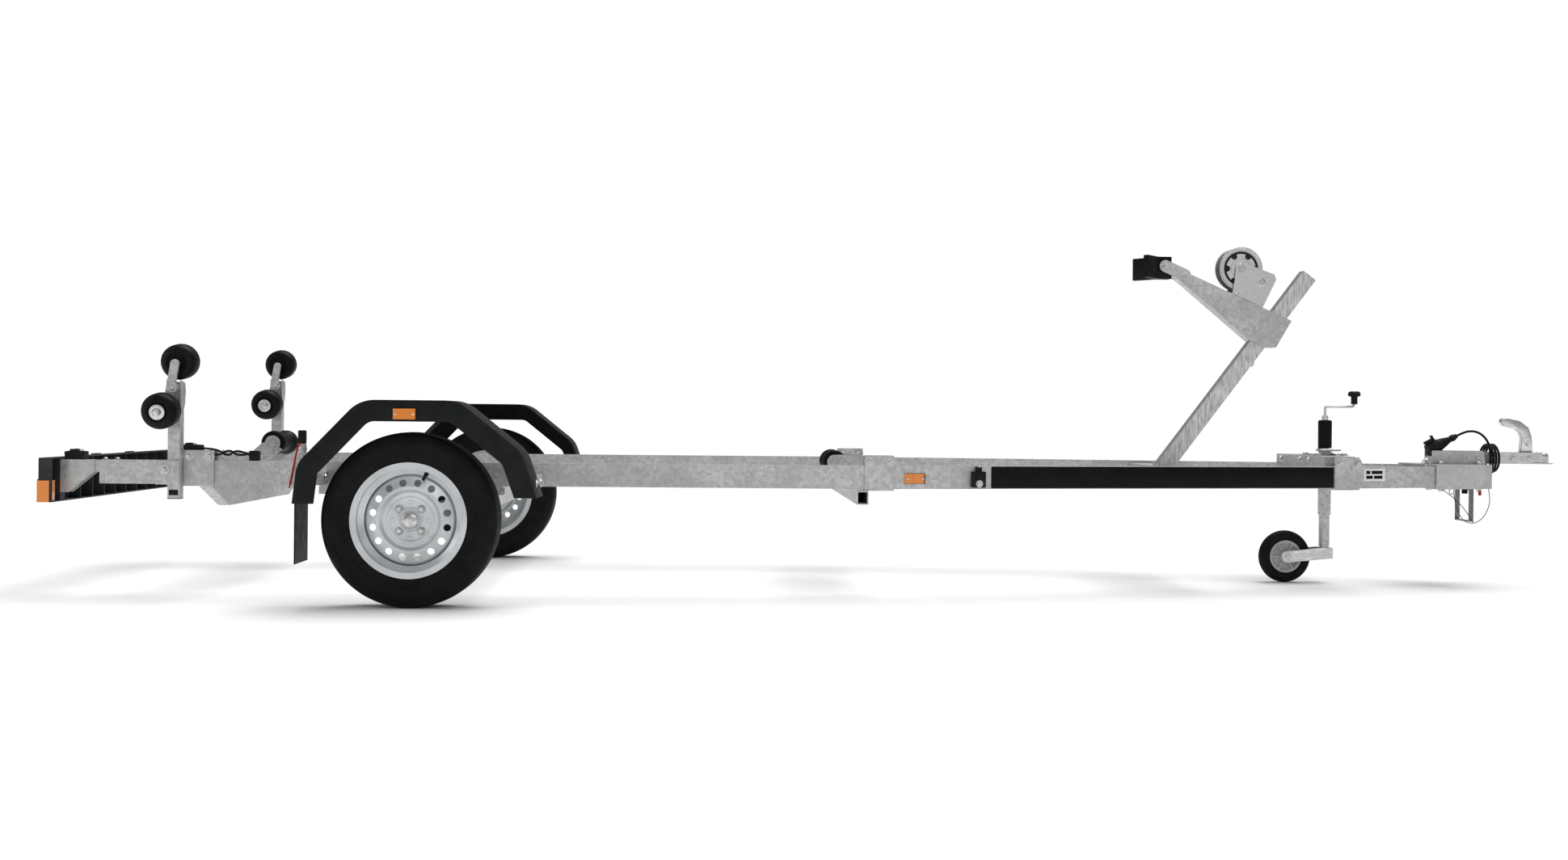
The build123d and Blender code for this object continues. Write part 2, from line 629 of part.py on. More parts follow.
# ================================================================ light board
LENS_REAR_X = BOARD_REAR_X - LENS_OUT
AMBER_INNER = BOARD_HALF - AMBER_W
RED_INNER = AMBER_INNER - RED_W
with BuildPart() as light_board:
    with Locations((BOARD_REAR_X, 0, BOARD_LOW)):
        Box(BOARD_FRONT_X - BOARD_REAR_X, 2 * BOARD_HALF, BOARD_TOP - BOARD_LOW,
            align=(Align.MIN, Align.CENTER, Align.MIN))
    with Locations((BOARD_REAR_X + BOARD_WALL, 0, BOARD_LOW + BOARD_WALL)):
        Box(BOARD_FRONT_X - BOARD_REAR_X, 2 * (BOARD_HALF - BOARD_WALL),
            BOARD_TOP - BOARD_LOW - 2 * BOARD_WALL,
            align=(Align.MIN, Align.CENTER, Align.MIN), mode=Mode.SUBTRACT)
    rib_count = int(RAIL_SPREAD // RIB_PITCH) - 1
    ribs = [(index * RIB_PITCH, BOARD_WALL) for index in range(-rib_count, rib_count + 1)]
    for rib_y, rib_w in (*ribs, (-RAIL_SPREAD, TUBE_W), (RAIL_SPREAD, TUBE_W)):
        with Locations((BOARD_FRONT_X, rib_y, BOARD_LOW)):
            Box(BOARD_FRONT_X - BOARD_REAR_X, rib_w, BOARD_TOP - BOARD_LOW,
                align=(Align.MAX, Align.CENTER, Align.MIN))
    for sign in (-1, 1):
        with Locations((LENS_REAR_X, sign * AMBER_INNER, BOARD_LOW - SEAT_GAP)):
            Box(AMBER_FRONT_X - LENS_REAR_X + SEAT_GAP, sign * 2 * (BOARD_HALF - AMBER_INNER) * sign,
                LAMP_TOP - BOARD_LOW + 2 * SEAT_GAP,
                align=(Align.MIN, Align.MIN if sign > 0 else Align.MAX, Align.MIN), mode=Mode.SUBTRACT)
keep(light_board.part, "light_board")

with BuildPart() as lamps_amber:
    with Locations((LENS_REAR_X, AMBER_INNER + SEAT_GAP, BOARD_LOW)):
        Box(AMBER_FRONT_X - LENS_REAR_X, BOARD_HALF - AMBER_INNER - SEAT_GAP, LAMP_TOP - BOARD_LOW,
            align=(Align.MIN, Align.MIN, Align.MIN))
    mirror(about=Plane.XZ)
keep(lamps_amber.part, "lamps_amber")

with BuildPart() as lamps_red:
    with Locations((LENS_REAR_X, RED_INNER, BOARD_LOW)):
        Box(LENS_OUT - SEAT_GAP, AMBER_INNER - SEAT_GAP - RED_INNER, LAMP_TOP - BOARD_LOW,
            align=(Align.MIN, Align.MIN, Align.MIN))
    mirror(about=Plane.XZ)
keep(lamps_red.part, "lamps_red")

TONGUE_W = TUBE_W - 2 * TUBE_WALL - 2 * SEAT_GAP
TONGUE_TOP = DECK_TOP - TUBE_WALL - SEAT_GAP
with BuildPart() as light_arms:
    gusset = ((BOARD_FRONT_X, DECK_TOP), (LIGHT_ARM_TIP_X, DECK_TOP),
              (LIGHT_ARM_TIP_X, DECK_TOP - LIGHT_ARM_TONGUE_H),
              (BOARD_FRONT_X + CLAMP_H, DECK_TOP - LIGHT_ARM_DEPTH),
              (BOARD_FRONT_X, DECK_TOP - LIGHT_ARM_DEPTH))
    lowered = [(x, z - LIGHT_ARM_T) for x, z in gusset[:2]] + [(x, z - LIGHT_ARM_DEPTH) for x,
                                                               z in gusset[1::-1]]
    with BuildSketch(side_plane(RAIL_SPREAD + TUBE_W / 2)):
        Polygon(*gusset, align=None)
    extrude(amount=TUBE_W)
    with BuildSketch(side_plane(RAIL_SPREAD + TUBE_W / 2 - LIGHT_ARM_T)):
        Polygon(*lowered, align=None)
    extrude(amount=TUBE_W - 2 * LIGHT_ARM_T, mode=Mode.SUBTRACT)
    with Locations((BOARD_FRONT_X, RAIL_SPREAD, DECK_TOP)):
        Box(LIGHT_ARM_TIP_X - BOARD_FRONT_X, TUBE_W, LIGHT_ARM_TONGUE_H,
            align=(Align.MIN, Align.CENTER, Align.MAX))
    with Locations((BOARD_FRONT_X, RAIL_SPREAD, TONGUE_TOP)):
        Box(LIGHT_ARM_TONGUE_X - BOARD_FRONT_X, TONGUE_W, LIGHT_ARM_TONGUE_H - LIGHT_ARM_T,
            align=(Align.MIN, Align.CENTER, Align.MAX))
    mirror(about=Plane.XZ)
keep(light_arms.part, "light_arms")

with BuildPart() as light_clamps:
    with Locations((CLAMP_BACK_X, RAIL_SPREAD, DECK_TOP)):
        Box(CLAMP_L, TUBE_W, CLAMP_H, align=(Align.MIN, Align.CENTER, Align.MIN))
    mirror(about=Plane.XZ)
keep(light_clamps.part, "light_clamps")

# ================================================================ side markers
BEAM_TURN = degrees(atan2(NECK_SPREAD - RAIL_SPREAD, NECK_X - JOINT_X))
with BuildPart() as side_markers:
    with Locations((GUARD_MARKER[0], GUARD_OUTER, GUARD_MARKER[1])):
        Box(MARKER_L, MARKER_T, MARKER_H, align=(Align.CENTER, Align.MIN, Align.CENTER))
    outer_face = beam_edge(TUBE_W / 2)
    with Locations(Location((BEAM_MARKER[0], at_x(outer_face, BEAM_MARKER[0]), BEAM_MARKER[1]),
                            (0, 0, BEAM_TURN))):
        Box(MARKER_L, MARKER_T, MARKER_H, align=(Align.CENTER, Align.MIN, Align.CENTER))
    mirror(about=Plane.XZ)
keep(side_markers.part, "side_markers")

# ================================================================ side roller posts
POST_Y = RAIL_SPREAD + TUBE_W / 2 + SEAT_GAP + POST_W / 2
ARM_NEAR = POST_W / 2 + BOSS_L       # rocker arm, from the post's middle towards the right
with BuildPart() as roller_posts:
    for (side, sign), (_, pivot_z) in zip(SIDES, PIVOT_Z):
        middle = sign * POST_Y
        with BuildSketch(side_plane(middle - POST_W / 2)):
            with Locations((POST_X, pivot_z)):
                Circle(POST_W / 2)
            with Locations((POST_X, (POST_LOW + pivot_z) / 2)):
                Rectangle(POST_W, pivot_z - POST_LOW)
        extrude(amount=-POST_W)
        with Locations((POST_X, middle, POST_LOW)):
            Box(POST_W - 2 * POST_WALL, POST_W - 2 * POST_WALL, pivot_z - POST_LOW - POST_W / 2,
                align=(Align.CENTER, Align.CENTER, Align.MIN), mode=Mode.SUBTRACT)
        for radius, start, end in ((BOSS_R, POST_W / 2, ARM_NEAR - SEAT_GAP),
                                   (ROCKER_PIN_R, POST_W / 2, ARM_NEAR + ROCKER_T + SEAT_GAP + WASHER_T),
                                   (BOSS_R, ARM_NEAR + ROCKER_T + SEAT_GAP,
                                    ARM_NEAR + ROCKER_T + SEAT_GAP + WASHER_T)):
            with BuildSketch(side_plane(middle - start)):
                with Locations((POST_X, pivot_z)):
                    Circle(radius)
            extrude(amount=end - start)
keep(roller_posts.part, "roller_posts")

HOLDER_FRONT_X = POST_X + POST_W / 2
HOLDER_FACE = POST_Y + POST_W / 2 + SEAT_GAP
RAIL_FACE = RAIL_SPREAD + TUBE_W / 2
with BuildPart() as post_holders:
    with BuildSketch(Plane.XY.offset(DECK_BASE)):
        with BuildLine():
            Polyline((HOLDER_FRONT_X, HOLDER_FACE + HOLDER_PLATE),
                     (HOLDER_BACK_X, HOLDER_FACE + HOLDER_PLATE),
                     (HOLDER_BACK_X, RAIL_FACE), (POST_X - POST_W / 2 - SEAT_GAP, RAIL_FACE),
                     (POST_X - POST_W / 2 - SEAT_GAP, RAIL_FACE + HOLDER_PLATE),
                     (HOLDER_BACK_X + HOLDER_PLATE, RAIL_FACE + HOLDER_PLATE),
                     (HOLDER_BACK_X + HOLDER_PLATE, HOLDER_FACE), (HOLDER_FRONT_X, HOLDER_FACE), close=True)
        make_face()
    extrude(amount=TUBE_H)
    mirror(about=Plane.XZ)
keep(post_holders.part, "post_holders")

# ================================================================ rockers and side rollers
TILT_AXIS = Vector(0, cos(radians(ROLLER_TILT)), sin(radians(ROLLER_TILT)))
ROLLERS = (("upper", UPPER_OFFSET, 1), ("lower", LOWER_OFFSET, -1))
for (side, sign), (_, pivot_z) in zip(SIDES, PIVOT_Z):
    arm_face_y = sign * POST_Y - ARM_NEAR
    arm_middle = arm_face_y - ROCKER_T / 2
    with BuildPart() as rocker:
        with BuildSketch(side_plane(arm_face_y)):
            with Locations(*[(POST_X + dx, pivot_z + dz) for _, (dx, dz), _ in ROLLERS]):
                Circle(ROCKER_W / 2)
            make_hull()
            with Locations((POST_X, pivot_z)):
                Circle(ROCKER_W / 2 + WASHER_T)
                Circle(ROCKER_PIN_R + RUN_GAP, mode=Mode.SUBTRACT)
        extrude(amount=ROCKER_T)
        for _, (dx, dz), toward in ROLLERS:
            centre = Vector(POST_X + dx, arm_middle, pivot_z + dz)
            reach = ROCKER_T / 2 + 2 * ROLLER_GAP / 2 + ROLLER_W
            out = TILT_AXIS * toward
            with BuildSketch(Plane(origin=centre, z_dir=out)):
                Circle(ROCKER_PIN_R)
            extrude(amount=reach + SEAT_GAP + WASHER_T)
            with BuildSketch(Plane(origin=centre + out * (reach + SEAT_GAP), z_dir=out)):
                Circle(WASHER_R)
            extrude(amount=WASHER_T)
    keep(rocker.part, f"rocker_{side}")

    for level, (dx, dz), toward in ROLLERS:
        centre = Vector(POST_X + dx, arm_middle, pivot_z + dz)
        out = TILT_AXIS * toward
        near_end = centre + out * (ROCKER_T / 2 + ROLLER_GAP)
        with BuildPart() as roller:
            with BuildSketch(Plane(origin=near_end, z_dir=out)):
                Circle(ROLLER_R)
            extrude(amount=ROLLER_W)
            fillet(roller.edges().filter_by(GeomType.CIRCLE), ROLLER_ROUND)
            with BuildSketch(Plane(origin=near_end, z_dir=out)):
                Circle(ROCKER_PIN_R + RUN_GAP)
            extrude(amount=ROLLER_W, mode=Mode.SUBTRACT)
        keep(roller.part, f"roller_{level}_{side}")

# ================================================================ keel rollers
half_l = KEEL_L / 2
KEEL_ARM = half_l + KEEL_END_GAP
for name, (x, z) in (("rear", REAR_KEEL), ("mid", MID_KEEL)):
    with BuildPart() as keel_roller:
        with BuildSketch(Plane(origin=(x, 0, z), x_dir=(0, 1, 0), z_dir=(1, 0, 0))):
            Polygon((-half_l, KEEL_PIN_R + RUN_GAP), (half_l, KEEL_PIN_R + RUN_GAP),
                    (half_l, KEEL_R - KEEL_EDGE),
                    (half_l - KEEL_EDGE, KEEL_R), (half_l - KEEL_END_L + KEEL_TAPER, KEEL_R),
                    (half_l - KEEL_END_L, KEEL_WAIST_R), (KEEL_END_L - half_l, KEEL_WAIST_R),
                    (KEEL_END_L - half_l - KEEL_TAPER, KEEL_R), (KEEL_EDGE - half_l, KEEL_R),
                    (-half_l, KEEL_R - KEEL_EDGE), align=None)
        revolve(axis=Axis((x, 0, z), (0, 1, 0)))
    keep(keel_roller.part, f"keel_roller_{name}")

REAR_KEEL_PLATE = ((-2250.0, SADDLE_FLOOR), (-2250.0, 437.0), (-2171.0, 508.0), REAR_KEEL, (-2098.0, 482.0),
                   (-2141.0, 449.0), (-2190.0, 405.0), (-2190.0, SADDLE_FLOOR))
MID_KEEL_PLATE = ((-13.0, SADDLE_FLOOR), (27.0, SADDLE_FLOOR), (62.0, 440.0), (62.0, 468.0), (52.0, 480.0),
                  (-51.0, 480.0), MID_KEEL, (-51.0, 424.0))
with BuildPart() as keel_brackets:
    for (x, z), plate, foot_x, foot_z in ((REAR_KEEL, REAR_KEEL_PLATE, REAR_CROSS_X, SADDLE_FLOOR),
                                          (MID_KEEL, MID_KEEL_PLATE, MID_CROSS_X, SADDLE_FLOOR)):
        for face in (-KEEL_ARM, KEEL_ARM + KEEL_PLATE):
            with BuildSketch(side_plane(face)):
                Polygon(*plate, align=None)
                with Locations((x, z)):
                    Circle(KEEL_HUB_R)
            extrude(amount=KEEL_PLATE)
        with BuildSketch(side_plane(KEEL_ARM + KEEL_PLATE)):
            with Locations((x, z)):
                Circle(KEEL_PIN_R)
        extrude(amount=2 * (KEEL_ARM + KEEL_PLATE))
        with Locations((foot_x, 0, foot_z)):
            Box(REAR_CROSS_L, 2 * KEEL_ARM, KEEL_PLATE, align=(Align.CENTER, Align.CENTER, Align.MIN))
keep(keel_brackets.part, "keel_brackets")

# ================================================================ winch post and arm
LEAN = radians(POST_LEAN)
POST_DIR = Vector(sin(LEAN), 0, cos(LEAN))
FOOT = Vector(WINCH_FOOT_X, 0, WINCH_CROSS_TOP)


def post_plane(start):
    """Plane square to the winch post, at a distance along it from its foot."""
    return Plane(origin=FOOT + POST_DIR * start, x_dir=(0, 1, 0), z_dir=POST_DIR)


with BuildPart() as winch_post:
    with BuildSketch(post_plane(-WINCH_POST_D)):
        Rectangle(WINCH_POST_W, WINCH_POST_D)
        Rectangle(WINCH_POST_W - 2 * WINCH_POST_WALL, WINCH_POST_D - 2 * WINCH_POST_WALL, mode=Mode.SUBTRACT)
    extrude(amount=WINCH_POST_L + WINCH_POST_D)
    split(bisect_by=Plane.XY.offset(WINCH_CROSS_TOP), keep=Keep.TOP)
keep(winch_post.part, "winch_post")

ARM_HALF = WINCH_POST_W / 2 + SEAT_GAP + WINCH_ARM_T
TIP, HEEL = Vector(*WINCH_ARM[0]), Vector(*WINCH_ARM[1])
ARM_ALONG = (HEEL - TIP).normalized()
ARM_UP = Vector(-ARM_ALONG.Y, ARM_ALONG.X)
if ARM_UP.Y < 0:
    ARM_UP = -ARM_UP


def on_arm(along, above):
    """X and Z of a point given along and above the winch arm's top edge."""
    spot = TIP + ARM_ALONG * along + ARM_UP * above
    return (spot.X, spot.Y)


with BuildPart() as winch_arm:
    with BuildSketch(side_plane(ARM_HALF)):
        Polygon(*WINCH_ARM, align=None)
    extrude(amount=2 * ARM_HALF)
    with BuildSketch(side_plane(ARM_HALF - WINCH_ARM_T)):
        Polygon(*WINCH_ARM, align=None)
        offset(amount=-WINCH_ARM_T, kind=Kind.INTERSECTION, mode=Mode.REPLACE)
    extrude(amount=2 * (ARM_HALF - WINCH_ARM_T), mode=Mode.SUBTRACT)
    with BuildSketch(post_plane(0)):
        Rectangle(2 * (ARM_HALF - WINCH_ARM_T), WINCH_POST_D + 2 * SEAT_GAP)
    extrude(amount=WINCH_POST_L + WINCH_POST_D, mode=Mode.SUBTRACT)
keep(winch_arm.part, "winch_arm")

BOW_CHEEK = ARM_HALF + SEAT_GAP
with BuildPart() as bow_bracket:
    tail = Vector(*BOW_BOLT) + ARM_ALONG * (BOW_PLATE_FRONT_X - BOW_BOLT[0])
    for face in (BOW_CHEEK + BOW_PLATE, -BOW_CHEEK):
        with BuildSketch(side_plane(face)):
            with Locations(BOW_BOLT, (tail.X, tail.Y)):
                Circle(BOW_PLATE_H / 2)
            make_hull()
        extrude(amount=BOW_PLATE)
    with BuildSketch(side_plane(BOW_CHEEK)):
        with Locations(BOW_BOLT):
            Circle(BOW_PLATE_H / 5)
    extrude(amount=2 * BOW_CHEEK)
keep(bow_bracket.part, "bow_bracket")

with BuildPart() as bow_stop:
    with BuildSketch(Plane.XY.offset(BOW_LOW)):
        half = [(BOW_FRONT_X, BOW_NECK_HALF), (BOW_NECK_X, BOW_NECK_HALF),
                (BOW_BACK_X + BOW_WALL / 2, BOW_SPREAD),
                (BOW_BACK_X, BOW_SPREAD - BOW_WALL / 2)]
        Polygon(*half, (BOW_NOTCH_X, 0.0), *[(x, -y) for x, y in half[::-1]], align=None)
    extrude(amount=BOW_TOP - BOW_LOW)
    with BuildSketch(side_plane(BOW_CHEEK)):
        with Locations(BOW_BOLT):
            Circle(BOW_PLATE_H / 5 + SEAT_GAP)
    extrude(amount=2 * BOW_CHEEK, mode=Mode.SUBTRACT)
    with BuildSketch(side_plane(ARM_HALF)):
        Polygon(*WINCH_ARM, align=None)
        offset(amount=SEAT_GAP, kind=Kind.INTERSECTION, mode=Mode.REPLACE)
    extrude(amount=2 * ARM_HALF, mode=Mode.SUBTRACT)
keep(bow_stop.part, "bow_stop")

# ================================================================ winch
FRAME_IN = DRUM_HALF + FRAME_GAP
with BuildPart() as winch_frame:
    for face in (FRAME_IN + FRAME_PLATE, -FRAME_IN):
        with BuildSketch(side_plane(face)):
            Polygon(*[on_arm(along, above + SEAT_GAP) for along, above in FRAME_OUTLINE], align=None)
        extrude(amount=FRAME_PLATE)
    floor = ((FRAME_OUTLINE[0][0], SEAT_GAP), (FRAME_OUTLINE[1][0], SEAT_GAP),
             (FRAME_OUTLINE[1][0], SEAT_GAP + FRAME_PLATE), (FRAME_OUTLINE[0][0], SEAT_GAP + FRAME_PLATE))
    with BuildSketch(side_plane(FRAME_IN)):
        Polygon(*[on_arm(*corner) for corner in floor], align=None)
    extrude(amount=2 * FRAME_IN)
    with BuildSketch(side_plane(FRAME_IN + FRAME_PLATE)):
        with Locations(on_arm(*DRUM_AT)):
            Circle(DRUM_PIN_R)
        with Locations(on_arm(*PINION_AT)):
            Circle(PINION_R)
    extrude(amount=2 * (FRAME_IN + FRAME_PLATE))
keep(winch_frame.part, "winch_frame")

drum_x, drum_z = on_arm(*DRUM_AT)
with BuildPart() as winch_drum:
    with BuildSketch(Plane(origin=(drum_x, 0, drum_z), x_dir=(0, 1, 0), z_dir=(1, 0, 0))):
        core = DRUM_PIN_R + RUN_GAP
        Polygon((-DRUM_HALF, core), (DRUM_HALF, core), (DRUM_HALF, DRUM_R), (DRUM_HALF - DRUM_FLANGE, DRUM_R),
                (DRUM_HALF - DRUM_FLANGE, DRUM_CORE_R), (DRUM_FLANGE - DRUM_HALF, DRUM_CORE_R),
                (DRUM_FLANGE - DRUM_HALF, DRUM_R), (-DRUM_HALF, DRUM_R), align=None)
    revolve(axis=Axis((drum_x, 0, drum_z), (0, 1, 0)))
    with Locations(Location((drum_x, 0, drum_z), (90, 0, 0))):
        with PolarLocations(DRUM_HOLE_CIRCLE_R, DRUM_HOLE_COUNT):
            Cylinder(DRUM_HOLE_R, 3 * DRUM_HALF, mode=Mode.SUBTRACT)
keep(winch_drum.part, "winch_drum")

# ================================================================ nose and coupling
NOSE_TOP = DECK_TOP + NOSE_PLATE
NOSE_FRONT_X = NOSE_X + NOSE_PLATE
with BuildPart() as nose_box:
    edge = beam_edge(SADDLE_OUT)
    outline = [(NOSE_BOX_X, at_x(edge, NOSE_BOX_X)), (NOSE_X, at_x(edge, NOSE_X)),
               (NOSE_FRONT_X, at_x(edge, NOSE_X))]
    with BuildSketch(Plane.XY.offset(DECK_BASE - NOSE_PLATE)):
        Polygon(*outline, *[(x, -y) for x, y in outline[::-1]], align=None)
    extrude(amount=TUBE_H + 2 * NOSE_PLATE)
    edge = beam_edge(SADDLE_IN)
    room = [(NOSE_BOX_X, at_x(edge, NOSE_BOX_X)), (NOSE_X, at_x(edge, NOSE_X))]
    with BuildSketch(Plane.XY.offset(DECK_BASE)):
        Polygon(*room, *[(x, -y) for x, y in room[::-1]], align=None)
    extrude(amount=TUBE_H, mode=Mode.SUBTRACT)
keep(nose_box.part, "nose_box")

with BuildPart() as coupling_channel:
    with Locations((CHANNEL_BACK_X, 0, NOSE_TOP)):
        Box(CHANNEL_FRONT_X - CHANNEL_BACK_X, CHANNEL_W, CHANNEL_H,
            align=(Align.MIN, Align.CENTER, Align.MIN))
        Box(CHANNEL_FRONT_X - CHANNEL_BACK_X, CHANNEL_W - 2 * CHANNEL_WALL, CHANNEL_H - CHANNEL_WALL,
            align=(Align.MIN, Align.CENTER, Align.MIN), mode=Mode.SUBTRACT)
        Box(CHANNEL_LID_X - CHANNEL_BACK_X, CHANNEL_W - 2 * CHANNEL_WALL, CHANNEL_H,
            align=(Align.MIN, Align.CENTER, Align.MIN), mode=Mode.SUBTRACT)
        Box(PLUG_REST_L, CHANNEL_W, PLUG_REST_H, align=(Align.MIN, Align.CENTER, Align.MIN))
keep(coupling_channel.part, "coupling_channel")

CHANNEL_TOP = NOSE_TOP + CHANNEL_H
HEAD_TOP = CHANNEL_TOP - CHANNEL_WALL - SEAT_GAP
with BuildPart() as coupling_head:
    with Locations((HEAD_BACK_X, 0, HEAD_LOW)):
        Box(DOME_X - HEAD_BACK_X, HEAD_W, HEAD_TOP - HEAD_LOW, align=(Align.MIN, Align.CENTER, Align.MIN))
    with BuildSketch(Plane(origin=(DOME_X, 0, HEAD_LOW), x_dir=(1, 0, 0), z_dir=(0, -1, 0))):
        crown = HEAD_TOP - HEAD_LOW
        brim = DOME_R + FLANGE_OUT
        with BuildLine():
            Polyline((0, 0), (brim, 0), (brim, HEAD_FLANGE_T), (DOME_R, HEAD_FLANGE_T),
                     (DOME_R, crown - DOME_ROUND))
            RadiusArc((DOME_R, crown - DOME_ROUND), (DOME_R - DOME_ROUND, crown), -DOME_ROUND)
            Polyline((DOME_R - DOME_ROUND, crown), (0, crown), (0, 0))
        make_face()
    revolve(axis=Axis((DOME_X, 0, 0), (0, 0, 1)))
    with BuildSketch(Plane.XY.offset(HEAD_LOW)):
        with Locations((DOME_X, 0)):
            Circle(SOCKET_R)
    extrude(amount=SOCKET_DEPTH, mode=Mode.SUBTRACT)
    with Locations((HEAD_BACK_X, 0, HEAD_LOW)):
        Box(DOME_X - DOME_R - HEAD_BACK_X, HEAD_W - 2 * CROSS_WALL, HEAD_TOP - HEAD_LOW - CROSS_WALL,
            align=(Align.MIN, Align.CENTER, Align.MIN), mode=Mode.SUBTRACT)
keep(coupling_head.part, "coupling_head")

with BuildPart() as coupling_lever:
    with BuildSketch(side_plane(LEVER_W / 2)):
        Polygon(*[(x, HEAD_TOP + z) for x, z in LEVER], (LEVER_FOOT_X, HEAD_TOP), align=None)
    extrude(amount=LEVER_W)
keep(coupling_lever.part, "coupling_lever")

STIRRUP_TOP = DECK_BASE - NOSE_PLATE
with BuildPart() as stirrup:
    with Locations((STIRRUP_X, 0, STIRRUP_LOW)):
        Box(STIRRUP_W, 2 * STIRRUP_HALF, STIRRUP_TOP - STIRRUP_LOW,
            align=(Align.CENTER, Align.CENTER, Align.MIN))
    with Locations((STIRRUP_X, 0, STIRRUP_LOW + STIRRUP_T)):
        Box(2 * STIRRUP_W, 2 * (STIRRUP_HALF - STIRRUP_T), STIRRUP_TOP - STIRRUP_LOW,
            align=(Align.CENTER, Align.CENTER, Align.MIN), mode=Mode.SUBTRACT)
keep(stirrup.part, "stirrup")

# ================================================================ plug, cable and safety wire
RISE = radians(PLUG_RISE)
PLUG_DIR = Vector(cos(RISE), 0, sin(RISE))
PLUG_START = Vector(PLUG_FACE[0], PLUG_FACE[1], NOSE_TOP + PLUG_REST_H + PLUG_R * cos(RISE) + SEAT_GAP)
PLUG_TAIL = PLUG_START + PLUG_DIR * (PLUG_L + PLUG_TAPER_L + PLUG_GLAND_L)
with BuildPart() as plug:
    with BuildSketch(Plane(origin=PLUG_START, x_dir=PLUG_DIR, z_dir=(0, -1, 0))):
        Polygon((0, 0), (0, PLUG_R), (PLUG_L, PLUG_R), (PLUG_L + PLUG_TAPER_L, PLUG_GLAND_R),
                (PLUG_L + PLUG_TAPER_L + PLUG_GLAND_L, PLUG_GLAND_R),
                (PLUG_L + PLUG_TAPER_L + PLUG_GLAND_L, 0),
                align=None)
    revolve(axis=Axis(PLUG_START, PLUG_DIR))
keep(plug.part, "plug")

COIL_Z = (HEAD_LOW + HEAD_TOP) / 2
WINDINGS = []
for step in range(COIL_STEPS + 1):
    angle = radians(180 + 360 * step / COIL_TURN_STEPS)
    WINDINGS.append((COIL_X + COIL_PITCH * step / COIL_TURN_STEPS, COIL_R * cos(angle),
                     COIL_Z + COIL_R * sin(angle)))
CABLE_ROUTE = ((PLUG_TAIL.X, PLUG_TAIL.Y, PLUG_TAIL.Z), *CABLE_ARCH, *WINDINGS, *CABLE_END,
               (NOSE_FRONT_X, CABLE_ENTRY[0], CABLE_ENTRY[1]))
cord_tube(CABLE_ROUTE, CABLE_D, "cable_run")
cord_tube(WIRE_ROUTE, WIRE_D, "safety_wire")

# ================================================================ jockey wheel
with BuildPart() as jockey_tube:
    with Locations((JOCKEY_X, 0, JOCKEY_LOW)):
        Cylinder(JOCKEY_R, JOCKEY_TOP - JOCKEY_LOW, align=(Align.CENTER, Align.CENTER, Align.MIN))
    with Locations((JOCKEY_X, 0, JOCKEY_TOP)):
        Cylinder(JOCKEY_CAP_R, JOCKEY_CAP_H, align=(Align.CENTER, Align.CENTER, Align.MIN))
    with Locations((JOCKEY_X, 0, JOCKEY_LOW)):
        Cylinder(STEM_R + RUN_GAP, JOCKEY_TOP - JOCKEY_LOW, align=(Align.CENTER, Align.CENTER, Align.MIN),
                 mode=Mode.SUBTRACT)
        Cylinder(CRANK_R + RUN_GAP, 2 * JOCKEY_TOP, align=(Align.CENTER, Align.CENTER, Align.MIN),
                 mode=Mode.SUBTRACT)
keep(jockey_tube.part, "jockey_tube")

with BuildPart() as jockey_stem:
    with Locations((JOCKEY_X, 0, STEM_LOW)):
        Cylinder(STEM_R, STEM_L, align=(Align.CENTER, Align.CENTER, Align.MIN))
        Cylinder(STEM_BORE_R, STEM_L, align=(Align.CENTER, Align.CENTER, Align.MIN), mode=Mode.SUBTRACT)
keep(jockey_stem.part, "jockey_stem")

JOCKEY_AXLE_X = JOCKEY_X - JOCKEY_TRAIL
FORK_IN = JOCKEY_WHEEL_W / 2 + FORK_GAP
FORK_TOP = FORK_LOW + FORK_H
with BuildPart() as jockey_fork:
    for face in (FORK_IN + FORK_T, -FORK_IN):
        with BuildSketch(side_plane(face)):
            with Locations((JOCKEY_AXLE_X, JOCKEY_WHEEL_R)):
                Circle(FORK_EYE_R)
            with Locations((JOCKEY_X, (FORK_LOW + FORK_TOP) / 2)):
                Rectangle(FORK_BLOCK_L, FORK_H)
            make_hull()
        extrude(amount=FORK_T)
    with Locations((JOCKEY_X, 0, FORK_LOW)):
        Box(FORK_BLOCK_L, 2 * FORK_IN, FORK_H, align=(Align.CENTER, Align.CENTER, Align.MIN))
    with Locations((JOCKEY_X, 0, FORK_TOP)):
        Cylinder(STEM_BORE_R - RUN_GAP, FORK_PIN_L, align=(Align.CENTER, Align.CENTER, Align.MIN))
    with BuildSketch(side_plane(FORK_IN + FORK_T)):
        with Locations((JOCKEY_AXLE_X, JOCKEY_WHEEL_R)):
            Circle(JOCKEY_PIN_R)
    extrude(amount=2 * (FORK_IN + FORK_T))
keep(jockey_fork.part, "jockey_fork")

